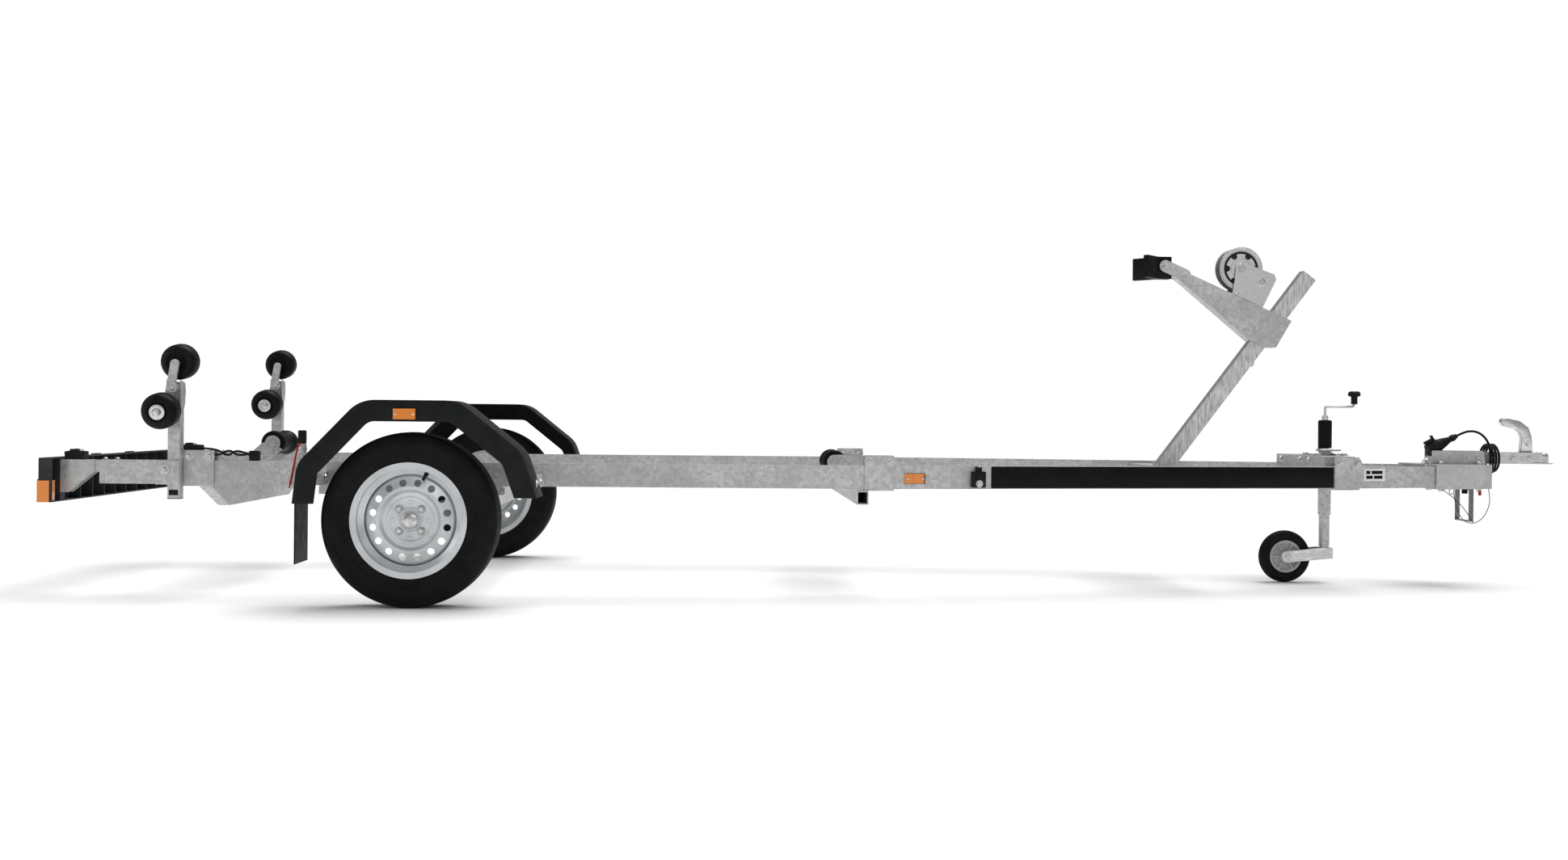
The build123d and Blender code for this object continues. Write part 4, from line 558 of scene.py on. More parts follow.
class TRAILER_OT_beam_fittings(bpy.types.Operator):
    """Fit the black side panels, the blank rating plate, the cable clamps and the lamps' bases"""

    bl_idname = "trailer.beam_fittings"
    bl_label = "Beam Fittings"

    def execute(self, context):
        for side, sign in SIDES:
            bm = bmesh.new()
            start, out = beam_spot(PANEL_REAR_X, sign, BEAM_HALF, DECK_LOW + 0.002)
            end, _ = beam_spot(PANEL_FRONT_X, sign, BEAM_HALF, DECK_LOW + 0.002)
            run = (end - start).normalized()
            length, height = (end - start).length, DECK_TOP - DECK_LOW - 0.004
            up = UPRIGHT if sign < 0 else -UPRIGHT
            foot = start if sign < 0 else start + UPRIGHT * height
            add_plate(bm, rectangle(0, 0, length, height), foot, run, up, 0.0025, 0.001)
            finish_piece(bm, f"side_panel_{side}", "black_panel")

        bm = bmesh.new()
        spot, out = beam_spot(CLAMP_X, -1, BEAM_HALF, 0.408)
        turn = Matrix.Rotation(atan2(out.y, out.x) + pi / 2, 4, "Z")
        add_block(bm, spot + out * 0.011, (0.05, 0.022, 0.056), 0.004, turn)
        add_block(bm, spot + out * 0.026 + UPRIGHT * 0.01, (0.026, 0.01, 0.024), 0.003, turn)
        add_block(bm, spot + out * 0.012 + UPRIGHT * 0.036, (0.02, 0.018, 0.016), 0.003, turn)
        finish_piece(bm, "panel_clamp", "black_plastic")
        bm = bmesh.new()
        add_hex(bm, spot + out * 0.022 - UPRIGHT * 0.014, out, *M8)
        add_bar(bm, spot + out * 0.016 + UPRIGHT * 0.04, spot + out * 0.016 + UPRIGHT * 0.052, 0.004, 14)
        finish_piece(bm, "panel_clamp_screws", "fastener")

        bm = bmesh.new()
        start, out = beam_spot(PLATE_X - PLATE_LENGTH / 2, -1, BEAM_HALF, 0.402)
        end, _ = beam_spot(PLATE_X + PLATE_LENGTH / 2, -1, BEAM_HALF, 0.402)
        add_plate(bm, rectangle(0, 0, PLATE_LENGTH, 0.046), start, (end - start).normalized(), UPRIGHT, 0.001,
                  0.0004)
        finish_piece(bm, "rating_plate", "plate_white")
        bm = bmesh.new()
        run = (end - start).normalized()
        for along, low, wide, tall in ((0.01, 0.026, 0.018, 0.012), (0.034, 0.026, 0.05, 0.012),
                                       (0.01, 0.008, 0.03, 0.012), (0.046, 0.008, 0.038, 0.012)):
            corner = start + out * 0.001 + run * along + UPRIGHT * low
            add_plate(bm, rectangle(0, 0, wide, tall), corner, run, UPRIGHT, 0.0004)
        finish_piece(bm, "rating_plate_fields", "black_panel")

        for side, sign in SIDES:
            bm = bmesh.new()
            spot, out = beam_spot(MARKER_BEAM_X, sign, BEAM_HALF + 0.002, 0.411)
            turn = Matrix.Rotation(atan2(out.y, out.x) + pi / 2, 4, "Z")
            add_block(bm, spot, (MARKER_WIDTH, 0.006, MARKER_HEIGHT), 0.0015, turn)
            guard = Vector((MARKER_GUARD_X, sign * 1.0195, 0.619))
            add_block(bm, guard, (MARKER_WIDTH, 0.005, MARKER_HEIGHT), 0.0015)
            finish_piece(bm, f"marker_bases_{side}", "black_plastic")
            bm = bmesh.new()
            for along in (-0.028, 0.028):
                add_hex(bm, spot + turn.to_3x3() @ Vector((along, 0, 0)) + out * 0.0045, out, *M4)
                add_hex(bm, guard + Vector((along, sign * 0.0052, 0)), SIDEWAYS * sign, *M4)
            finish_piece(bm, f"marker_screws_{side}", "fastener")
        return {"FINISHED"}


class TRAILER_OT_tyres(bpy.types.Operator):
    """Turn the tyres with ribbed side walls and a cut tread"""

    bl_idname = "trailer.tyres"
    bl_label = "Tyres"

    def execute(self, context):
        look = context.scene.trailer_look
        depth, steps = look.tread_depth, 2 * look.tread_blocks
        crown = WHEEL_R
        floor = crown - depth
        half = [(floor, 0.0), (floor, 0.004), (crown, 0.0055), (crown, 0.0245), (floor, 0.026),
                (floor, 0.032), (crown - 0.0003, 0.0335), (crown - 0.0012, 0.05), (0.2775, 0.0575),
                (0.2715, 0.0665), (0.264, 0.0735), (0.25, 0.079), (0.249, 0.0806), (0.2462, 0.0808),
                (0.2452, 0.0794), (0.228, 0.0816), (0.214, 0.0802), (0.213, 0.0815), (0.2108, 0.0812),
                (0.2098, 0.0794), (0.199, 0.0772), (0.192, 0.0782), (0.1885, 0.0775), (0.1873, 0.0745),
                (0.1695, 0.07)]
        squeeze = (TYRE_HIGH.y - TYRE_LOW.y) / 2 / max(along for _, along in half)
        half = [(radius, along * squeeze) for radius, along in half]
        profile = [(radius, -along) for radius, along in half[:0:-1]] + half
        for side, sign in SIDES:
            bm = bmesh.new()
            centre = Vector((WHEEL_X, sign * WHEEL_Y, WHEEL_R))
            add_turned(bm, profile + profile[:1], centre, SIDEWAYS, steps, UPRIGHT)
            bm.faces.ensure_lookup_table()
            cut = []
            for face in bm.faces:
                spot = face.calc_center_median() - centre
                reach = hypot(spot.x, spot.z)
                part = int((atan2(spot.x, spot.z) % (2 * pi)) / (2 * pi) * steps)
                shoulder = reach > crown - 0.006 and abs(spot.y) > 0.034
                rib = reach > crown - 0.001 and abs(spot.y) < 0.024
                if (shoulder and part % 4 == 0) or (rib and part % 6 == (0 if spot.y > 0 else 3)):
                    cut.append(face)
            sunk = bmesh.ops.extrude_face_region(bm, geom=cut)
            verts = [item for item in sunk["geom"] if isinstance(item, bmesh.types.BMVert)]
            shrink = (crown - 0.7 * depth) / crown
            bmesh.ops.scale(bm, vec=(shrink, 1.0, shrink), space=Matrix.Translation(-centre), verts=verts)
            finish_piece(bm, f"treaded_tyre_{side}", "tyre_rubber", f"wheel_{side}", turn=radians(28),
                         replaces=f"tyre_{side}")
        return {"FINISHED"}


class TRAILER_OT_wheel_fittings(bpy.types.Operator):
    """Fit the wheel nuts, hub caps, pressed rings and valves"""

    bl_idname = "trailer.wheel_fittings"
    bl_label = "Wheel Fittings"

    def execute(self, context):
        for side, sign in SIDES:
            body = f"wheel_{side}"
            centre = Vector((WHEEL_X, sign * WHEEL_Y, WHEEL_R))
            out = SIDEWAYS * sign
            bm = bmesh.new()
            for index in range(4):
                spot = centre + side_spot(45 + 90 * index, NUT_CIRCLE_R) + out * 0.0338
                add_turned(bm, mm((0, 0), (13.5, 0), (13.5, 1.5), (10.5, 5), (0, 5)), spot, out, 28)
                add_hex(bm, spot + out * 0.004, out, 0.017, 0.012, False)
            add_turned(bm, mm((0, 0), (24.5, 0), (24.5, 1.5), (21, 4), (10, 5.2), (0, 5.2)),
                       centre + out * 0.0478, out, 36)
            finish_piece(bm, f"wheel_nuts_{side}", "fastener", body)

            bm = bmesh.new()
            add_turned(bm, mm((34, 0), (34, 3), (37.5, 4.5), (41, 3), (41, 0)), centre + out * 0.033, out, 48)
            add_turned(bm, mm((76, -2), (74, 1.6), (69, 2.2), (66, 1), (65, -2)), centre + out * 0.0345, out,
                       64)
            for index in range(4):
                spot = centre + side_spot(90 * index, 0.058) + out * 0.034
                add_turned(bm, mm((0, 1.8), (6, 1.8), (8.5, 0)), spot, out, 20)
            finish_piece(bm, f"wheel_disc_rings_{side}", "rim_steel", body)

            bm = bmesh.new()
            away = side_spot(90 - 19)
            root = centre + away * 0.156 + out * 0.04
            tip = centre + away * 0.138 + out * 0.066
            add_bar(bm, root, root.lerp(tip, 0.55), 0.0075, 20, tip=0.005)
            add_bar(bm, root.lerp(tip, 0.5), tip, 0.0048, 20)
            finish_piece(bm, f"valve_{side}", "black_plastic", body)
        return {"FINISHED"}


def axle_of(node, axis):
    """Middle of a turned node, and its half length along an axis."""
    low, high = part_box(node)
    centre = (low + high) / 2
    reach = [(vert.co - centre).dot(axis) for vert in NODES[node].data.vertices]
    middle = (max(reach) + min(reach)) / 2
    return centre + axis * middle, (max(reach) - min(reach)) / 2


ROLLER_TILT = radians(7.0)
ROLLER_AXIS = Vector((0, cos(ROLLER_TILT), sin(ROLLER_TILT)))
ROLLER_RIBS = 18
# Depth below the end and radius of three points along one rib of a roller.
ROLLER_RIB = mm((1.2, 27.0), (1.2, 38.0), (10.0, 52.0))


class TRAILER_OT_side_rollers(bpy.types.Operator):
    """Turn the side rollers with ribbed faces and end caps"""

    bl_idname = "trailer.side_rollers"
    bl_label = "Side Rollers"

    def execute(self, context):
        for side, _ in SIDES:
            for level, toward in (("upper", 1), ("lower", -1)):
                node = f"roller_{level}_{side}"
                centre, half = axle_of(node, ROLLER_AXIS)
                bm = bmesh.new()
                end = [(0.0085, half - 0.01), (0.021, half - 0.01), (0.0225, half - 0.001),
                       (0.0265, half - 0.0005), (0.0275, half - 0.005), (0.0335, half - 0.005),
                       (0.0345, half - 0.0002)]
                flat = ROLLER_R - ROLLER_ROUND
                for step in range(1, 9):
                    bend = pi / 2 * step / 8
                    end.append((flat + ROLLER_ROUND * sin(bend), half - ROLLER_ROUND * (1 - cos(bend))))
                start = [(radius, -along) for radius, along in end]
                grooves = []
                for along in (-0.012, 0.012):
                    grooves += [(ROLLER_R, along - 0.0015), (ROLLER_R - 0.0012, along),
                                (ROLLER_R, along + 0.0015)]
                profile = start + grooves + end[::-1]
                add_turned(bm, profile + profile[:1], centre, ROLLER_AXIS, 64)
                for face_side in (-1, 1):
                    for index in range(ROLLER_RIBS):
                        spin = Matrix.Rotation(2 * pi * index / ROLLER_RIBS, 4, ROLLER_AXIS)
                        radial = (spin @ ROLLER_AXIS.orthogonal().normalized().to_4d()).to_3d()
                        outward = ROLLER_AXIS * face_side
                        inner, middle, outer = (centre + outward * (half - sunk) + radial * radius
                                                for sunk, radius in ROLLER_RIB)
                        add_bar(bm, inner, middle, 0.0017, 6)
                        add_bar(bm, middle, outer, 0.0017, 6, tip=0.0008)
                finish_piece(bm, f"moulded_roller_{level}_{side}", "black_rubber", node, replaces=node)

                out = ROLLER_AXIS * toward
                bm = bmesh.new()
                face = centre + out * (half + 0.0125)
                add_turned(bm, mm((8.5, -5.5), (25, -5.5), (26, -4.6), (25, -1), (18, -0.2), (8.5, -0.2)),
                           centre + out * (half + 0.006), out, 40)
                add_turned(bm, mm((0, -7), (7.8, -7), (7.8, 6.5), (6.2, 8), (0, 8)), face, out, 24)
                add_turned(bm, mm((0, 0), (12.5, 0), (13.5, 1.4), (10, 5.2), (0, 6)), face - out * 0.0012,
                           out, 28)
                finish_piece(bm, f"roller_cap_{level}_{side}", "fastener", f"rocker_{side}")
        return {"FINISHED"}


class TRAILER_OT_rocker_pins(bpy.types.Operator):
    """Fit the pivot bolts of the rockers, and the ears and feet of their posts"""

    bl_idname = "trailer.rocker_pins"
    bl_label = "Rocker Pins"

    def execute(self, context):
        size = context.scene.trailer_look.bolt_size
        for side, sign in SIDES:
            pivot = Vector(JOINT_AT[f"rocker_{side}_tilt"])
            bm = bmesh.new()
            add_turned(bm, mm((8.5, 0), (16.5, 0), (17.5, 1), (16.5, 2), (8.5, 2)), pivot - SIDEWAYS * 0.0102,
                       -SIDEWAYS, 32)
            post_middle = pivot.y + 0.034
            add_hex(bm, (pivot.x, post_middle + 0.0205, pivot.z), SIDEWAYS, size, 0.01)
            add_hex(bm, (pivot.x, pivot.y - 0.0106, pivot.z), -SIDEWAYS, size, 0.008, False)
            add_thread_end(bm, (pivot.x, post_middle + 0.0325, pivot.z), SIDEWAYS, 0.0058, 0.006)
            finish_piece(bm, f"pivot_bolt_{side}", "fastener")

            bm = bmesh.new()
            ear = mm((-26, -70), (10, -70), (20, -50), (26, -10), (20, 16), (-26, 26))
            for ear_x in (-0.0242, 0.0202):
                add_plate(bm, ear, (POST_X + ear_x, post_middle, pivot.z), SIDEWAYS, UPRIGHT, 0.004, 0.0008)
            finish_piece(bm, f"post_ears_{side}", "galvanised", smooth=False)

            bm = bmesh.new()
            add_block(bm, (POST_X, post_middle, DECK_LOW - 0.0475), (0.0405, 0.0405, 0.003), 0.001)
            facing_out = post_middle + sign * 0.0204
            across = -FORWARD * sign
            add_plate(bm, rectangle(-0.015, -0.008, 0.015, 0.01),
                      (POST_X, facing_out, DECK_LOW - 0.028), across, UPRIGHT, 0.0012, 0.0004)
            finish_piece(bm, f"post_foot_{side}", "black_plastic")
        return {"FINISHED"}


class TRAILER_OT_keel_rollers(bpy.types.Operator):
    """Turn the keel rollers with flared ends, and bolt their brackets"""

    bl_idname = "trailer.keel_rollers"
    bl_label = "Keel Rollers"

    def execute(self, context):
        size = context.scene.trailer_look.bolt_size
        bolts = bmesh.new()
        for place in ("rear", "mid"):
            node = f"keel_roller_{place}"
            centre, half = axle_of(node, SIDEWAYS)
            bm = bmesh.new()
            end = [(0.0112, half - 0.004), (0.02, half - 0.004), (0.0215, half - 0.0005), (0.027, half),
                   (0.029, half - 0.004), (0.035, half - 0.004), (0.0365, half), (0.0405, half - 0.0005),
                   (0.044, half - 0.004), (0.045, half - 0.01), (0.045, half - 0.026), (0.043, half - 0.033),
                   (0.0385, half - 0.041), (0.0355, half - 0.047), (0.034, half - 0.054)]
            rings = []
            for index in range(5):
                along = -0.036 + 0.018 * index
                rings += [(0.034, along - 0.002), (0.0328, along), (0.034, along + 0.002)]
            profile = [(radius, -along) for radius, along in end] + rings + end[::-1]
            add_turned(bm, profile + profile[:1], centre, SIDEWAYS, 64)
            finish_piece(bm, f"flared_roller_{place}", "black_rubber", node, replaces=node)
            for sign, out in OUTWARD:
                add_hex(bolts, (centre.x, sign * KEEL_BRACKET_SIDE, centre.z), out, size, 0.008)
                for dx, dz in KEEL_BOLTS[place]:
                    add_hex(bolts, (centre.x + dx, sign * KEEL_BRACKET_SIDE, centre.z + dz), out, *M8)
        finish_piece(bolts, "keel_bracket_bolts", "fastener")
        return {"FINISHED"}


class TRAILER_OT_light_board(bpy.types.Operator):
    """Fit the rear board's lamps, reflectors, blank number plate, screws and clamps"""

    bl_idname = "trailer.light_board"
    bl_label = "Light Board"

    def execute(self, context):
        board_low, board_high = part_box("light_board")
        rear, low, high = board_low.x, board_low.z, board_high.z
        bm = bmesh.new()
        add_plate(bm, rectangle(-0.262, -0.058, 0.262, 0.058),
                  (rear, 0, (low + high) / 2), -SIDEWAYS, UPRIGHT, 0.0015, 0.0006)
        finish_piece(bm, "number_plate_blank", "plate_white")
        bm = bmesh.new()
        for z in (-0.066, 0.063):
            add_block(bm, (rear - 0.001, 0, (low + high) / 2 + z), (0.006, 0.54, 0.008), 0.0015)
        for y in (-0.17, 0.17):
            add_block(bm, (rear - 0.005, y, high - 0.006), (0.02, 0.06, 0.018), 0.004)
        for sign in (-1, 1):
            for y in (0.5, 0.568, 0.638):
                add_block(bm, (rear - 0.0022, sign * y, low + 0.037), (0.0052, 0.004, 0.078), 0.001)
            for lift in (0.0745, 0.002):
                add_block(bm, (rear - 0.0022, sign * 0.593, low + lift), (0.0052, 0.192, 0.004), 0.001)
        finish_piece(bm, "board_frames", "black_plastic")

        bm = bmesh.new()
        for sign in (-1, 1):
            add_plate(bm, mm((-66, -30), (66, -30), (0, 36)), (rear + 0.0002, sign * 0.598, low + 0.11),
                      -SIDEWAYS, UPRIGHT, 0.0045, 0.001)
        finish_piece(bm, "rear_reflectors", "red_lens")
        bm = bmesh.new()
        for sign in (-1, 1):
            for y in (-0.048, 0.048):
                add_plate(bm, rectangle(-0.02, -0.013, 0.02, 0.013),
                          (rear - 0.005, sign * (0.604 + y), low + 0.037), -SIDEWAYS, UPRIGHT, 0.0006, 0.0002)
        finish_piece(bm, "lamp_windows", "plate_white")

        bm = bmesh.new()
        for sign in (-1, 1):
            add_hex(bm, (rear - 0.0015, sign * 0.23, (low + high) / 2), -FORWARD, *M5)
            for x, lift in ((-2.672, 0.028), (-2.642, 0.028), (-2.56, 0.0), (-2.52, 0.0)):
                add_hex(bm, (x, sign * RAIL_Y, DECK_TOP + lift), UPRIGHT, *M8)
        finish_piece(bm, "board_screws", "fastener")

        bm = bmesh.new()
        for sign in (-1, 1):
            add_block(bm, (-2.657, sign * RAIL_Y, DECK_TOP + 0.02), (0.066, 0.046, 0.012), 0.003)
            for y in (0.582, 0.618):
                add_block(bm, (-2.657, sign * y, DECK_TOP + 0.03), (0.03, 0.01, 0.012), 0.003)
        finish_piece(bm, "clamp_ears", "black_plastic")
        return {"FINISHED"}


STAY_BOLTS_Y = (0.85, 0.965)


class TRAILER_OT_mudguard_fittings(bpy.types.Operator):
    """Roll the mudguards' edges and bolt them to their stays"""

    bl_idname = "trailer.mudguard_fittings"
    bl_label = "Mudguard Fittings"

    def execute(self, context):
        for side, sign in SIDES:
            bm = eased_copy(f"mudguard_{side}", 40, 0.0011)
            finish_piece(bm, f"pressed_mudguard_{side}", "black_plastic", replaces=f"mudguard_{side}")

            bm = bmesh.new()
            low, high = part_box("mudguard_stays")
            for x, way in ((low.x, -1), (high.x, 1)):
                for y in STAY_BOLTS_Y:
                    add_hex(bm, (x + way * 0.0045, sign * y, 0.4), FORWARD * way, 0.013, 0.005)
                add_hex(bm, (x - way * 0.01, sign * 0.65, 0.404), -FORWARD * way, 0.013, 0.005)
            finish_piece(bm, f"mudguard_bolts_{side}", "fastener")
        return {"FINISHED"}


ARM_TIP = Vector((1.274, 0, 1.2))
ARM_HEEL = Vector((1.711, 0, 1.007))
ARM_ALONG = (ARM_HEEL - ARM_TIP).normalized()
ARM_UP = Vector((-ARM_ALONG.z, 0, ARM_ALONG.x))
ARM_SIDE = 0.0293
ARM_BOLTS = ((1.29, 1.168), (1.534, 0.967), (1.572, 0.961), (1.638, 0.922), (1.693, 1.001))
DRUM_AXLE = (0.306, 0.084)
DRUM_HALF = 0.028


def on_arm(along, above, y=0.0):
    """Point along and above the winch arm's top edge."""
    return ARM_TIP + ARM_ALONG * along + ARM_UP * above + SIDEWAYS * y


class TRAILER_OT_winch(bpy.types.Operator):
    """Wind the winch's strap, and fit the drum's rims, the arm's bolts and the bow stop"""

    bl_idname = "trailer.winch"
    bl_label = "Winch"

    def execute(self, context):
        drum = Vector(JOINT_AT["winch_drum_turn"])
        bm = bmesh.new()
        core, outer, layers = 0.03, 0.057, 6
        face = [(0.0265, 0.0205)]
        for layer in range(layers + 1):
            radius = core + (outer - core) * layer / layers
            face += [(radius, 0.0228), (radius + 0.0016, 0.0218)]
        face.append((outer + 0.0022, 0.021))
        profile = [(radius, -along) for radius, along in face] + [(outer + 0.0026, 0.0)] + face[::-1]
        add_turned(bm, profile + profile[:1], drum, SIDEWAYS, 72)
        finish_piece(bm, "wound_strap", "webbing", "winch_drum")

        bm = bmesh.new()
        for _, out in OUTWARD:
            face = drum + out * DRUM_HALF
            add_turned(bm, mm((80.5, -3.2), (83.5, -3), (84.5, -1.2), (83.5, 0.8), (80, 1.2), (77.5, 0.4),
                              (77, -1), (80.5, -3.2)), face, out, 96)
            add_turned(bm, mm((70, -0.6), (69, 1.2), (67.5, 1.2), (66.5, -0.6)), face, out, 72)
            add_turned(bm, mm((22.5, -0.6), (21.5, 1.6), (15, 2.4), (9.5, 2.4), (9, -0.6)), face, out, 48)
            add_turned(bm, mm((40.5, -0.6), (39.5, 1), (38.5, 1), (37.5, -0.6)), face, out, 64)
        finish_piece(bm, "drum_rims", "fastener", "winch_drum")

        # Black rings on the drum's faces, between the wound strap and the rim: painted shade of the groove there.
        bm = bmesh.new()
        for _, out in OUTWARD:
            add_turned(bm, mm((57, -0.4), (57.5, 0.7), (65.5, 0.7), (66, -0.4)), drum + out * DRUM_HALF, out,
                       72)
        finish_piece(bm, "drum_groove_painted_shade", "black_plastic", "winch_drum")

        bm = bmesh.new()
        for sign, out in OUTWARD:
            cheek = sign * 0.0372
            add_hex(bm, on_arm(*DRUM_AXLE, cheek), out, *M10)
            add_turned(bm, mm((12, 0), (16, 0.5), (16.5, 2), (12, 2.8)), on_arm(*DRUM_AXLE, cheek), out, 32)
            add_hex(bm, on_arm(0.216, 0.101, cheek), out, 0.016, 0.007)
            for along, above in ((0.322, 0.108), (0.25, 0.11)):
                add_hex(bm, on_arm(along, above, cheek), out, *M5)
        add_bar(bm, on_arm(*DRUM_AXLE, 0.037), on_arm(*DRUM_AXLE, 0.062), 0.0085, 24)
        add_bar(bm, on_arm(*DRUM_AXLE, 0.062), on_arm(*DRUM_AXLE, 0.07), 0.0062, 6)
        add_bar(bm, on_arm(0.262, 0.118, 0.0385), on_arm(0.236, 0.14, 0.0385), 0.0035, 14)
        for sign in (-1, 1):
            for along in (0.24, 0.338):
                add_block(bm, on_arm(along, 0.005, sign * 0.0352), (0.018, 0.006, 0.008), 0.0015,
                          Matrix.Rotation(atan2(-ARM_ALONG.z, ARM_ALONG.x), 4, "Y"))
        finish_piece(bm, "winch_bolts", "fastener")

        bm = bmesh.new()
        for sign, out in OUTWARD:
            for x, z in ARM_BOLTS:
                add_hex(bm, (x, sign * ARM_SIDE, z), out, *M8)
            add_hex(bm, (1.218, sign * 0.0346, 1.211), out, *M10)
            add_hex(bm, (1.545, sign * 0.025, 0.858), out, 0.01, 0.004)
        add_turned(bm, mm((0, 0), (13.5, 0), (13.5, 4), (8, 11), (0, 12)), (1.562, 0, 0.842), side_spot(-37),
                   24)
        finish_piece(bm, "arm_bolts", "fastener")

        bm = bmesh.new()
        low, high = (corner.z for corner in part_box("bow_stop"))
        finish_piece(eased_copy("bow_stop", 30, 0.0025), "bow_block", "black_rubber", replaces="bow_stop")
        for sign in (-1, 1):
            for z in (low + 0.018, (low + high) / 2, high - 0.018):
                add_bar(bm, (1.131, sign * 0.0832, z), (1.172, sign * 0.0215, z), 0.0028, 10)
        finish_piece(bm, "bow_block_ribs", "black_rubber")
        return {"FINISHED"}


CABLE_DIAMETER = 0.009
COIL_RADIUS = 0.053
COIL_START_X = 2.486
COIL_MIDDLE_Z = 0.48635
COIL_PITCH = 0.011
COIL_TURN_STEPS = 12
COIL_STEPS = 39
CABLE_ARCH = (
    (2.37427, 0.0, 0.56989), (2.4, -0.001, 0.583), (2.426, -0.006, 0.59), (2.451, -0.015, 0.586),
    (2.47, -0.028, 0.57), (2.481, -0.042, 0.545), (2.483, -0.051, 0.515))
CABLE_END = ((2.522, 0.02, 0.427), (2.51, 0.038, 0.4215), (2.491, 0.0475, 0.42), (2.47, 0.048, 0.42))


def coil_windings():
    """Route points of the turns round the coupling's neck."""
    windings = []
    for step in range(COIL_STEPS + 1):
        turn = step / COIL_TURN_STEPS
        angle = pi + 2 * pi * turn
        windings.append((COIL_START_X + COIL_PITCH * turn, COIL_RADIUS * cos(angle),
                         COIL_MIDDLE_Z + COIL_RADIUS * sin(angle)))
    return tuple(windings)


CABLE_ROUTE = CABLE_ARCH + coil_windings() + CABLE_END
WIRE_DIAMETER = 0.003
WIRE_ROUTE = (
    (2.466, -0.076, 0.369), (2.473, -0.077, 0.332), (2.466, -0.078, 0.294),
    (2.446, -0.079, 0.258), (2.414, -0.079, 0.236), (2.38, -0.078, 0.238),
    (2.355, -0.077, 0.262), (2.341, -0.076, 0.298), (2.332, -0.076, 0.335),
    (2.33, -0.076, 0.369))
PLUG_LEAN = 27
NECK_SIDE = 0.03
NECK_Z = 0.486
CHANNEL_BOLTS_X = (2.405, 2.442)
LEVER_PIN_X = 2.648
PLUG_FOOT = Vector((2.262, 0, 0.5127))


class TRAILER_OT_coupling(bpy.types.Operator):
    """Dress the ball coupling: cast lever, bolts, plug grips, ring and eye"""

    bl_idname = "trailer.coupling"
    bl_label = "Coupling"

    def execute(self, context):
        size = context.scene.trailer_look.bolt_size
        channel_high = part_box("coupling_channel")[1]
        head_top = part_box("coupling_lever")[0].z

        bm = eased_copy("coupling_lever", 60, 0.0055, 3)
        finish_piece(bm, "cast_lever", "zinc_plate", turn=radians(50), replaces="coupling_lever")

        bm = bmesh.new()
        for sign, out in OUTWARD:
            for x in CHANNEL_BOLTS_X:
                add_hex(bm, (x, sign * channel_high.y, NECK_Z), out, 0.011, 0.005, False)
            add_hex(bm, (2.585, sign * NECK_SIDE, NECK_Z), out, 0.015, 0.006)
            add_hex(bm, (LEVER_PIN_X, sign * NECK_SIDE, NECK_Z), out, 0.012, 0.005)
            pin_z = head_top + 0.03
            add_bar(bm, (LEVER_PIN_X, sign * 0.0125, pin_z), (LEVER_PIN_X, sign * 0.0155, pin_z), 0.006, 20)
        for x, y in ((2.29, 0.054), (2.29, -0.054), (2.44, 0.052), (2.44, -0.052)):
            add_hex(bm, (x, y, DECK_TOP + 0.006), UPRIGHT, size, 0.008)
            add_hex(bm, (x, y, DECK_LOW - 0.006), -UPRIGHT, size, 0.01)
        finish_piece(bm, "coupling_bolts", "fastener")

        bm = bmesh.new()
        spot, _ = beam_spot(2.186, -1, 0.0, DECK_TOP + 0.015)
        add_turned(bm, ring_profile(0.0125, 0.0028), spot, (0.3, 1, 0.2), 32)
        add_bar(bm, spot - UPRIGHT * 0.0155, spot - UPRIGHT * 0.0085, 0.0042, 16)
        eye = Vector((2.323, -0.076, DECK_LOW - 0.006))
        add_turned(bm, ring_profile(0.01, 0.0026), eye - UPRIGHT * 0.0115, SIDEWAYS, 32)
        finish_piece(bm, "rings", "fastener")

        bm = bmesh.new()
        along = side_spot(PLUG_LEAN)
        tilt = Matrix.Rotation(-radians(PLUG_LEAN), 4, "Y")
        up = Vector((-along.z, 0, along.x))
        for start, radius in ((0.004, 0.0254), (0.012, 0.025), (0.02, 0.0254), (0.043, 0.0248)):
            add_turned(bm, [(0.02, 0.0), (radius, 0.0008), (radius, 0.0042), (0.02, 0.005)],
                       PLUG_FOOT + along * start, along, 40)
        for start in (0.058, 0.066, 0.074, 0.082, 0.09):
            radius = 0.0235 - 0.014 * (start - 0.046) / 0.052
            add_turned(bm, [(0.005, 0.0), (radius + 0.001, 0.0008), (radius + 0.0004, 0.0036),
                            (0.005, 0.0044)], PLUG_FOOT + along * start, along, 36)
        add_turned(bm, mm((3, 0), (13, 0.5), (13, 14), (10.8, 18), (3, 18)), PLUG_FOOT + along * 0.1, along,
                   32)
        add_block(bm, PLUG_FOOT + along * 0.02 + up * 0.03, (0.04, 0.022, 0.01), 0.002, tilt)
        add_block(bm, PLUG_FOOT + along * 0.036 + up * 0.039, (0.006, 0.02, 0.016), 0.002, tilt)
        finish_piece(bm, "plug_grips", "black_plastic")

        bm = bmesh.new()
        add_turned(bm, mm((0, 0), (12.5, 0), (12.5, 3), (9.5, 4), (8.5, 12), (6, 20), (0, 20)),
                   CABLE_ROUTE[-1], FORWARD, 32)
        finish_piece(bm, "cable_gland", "black_plastic")
        return {"FINISHED"}


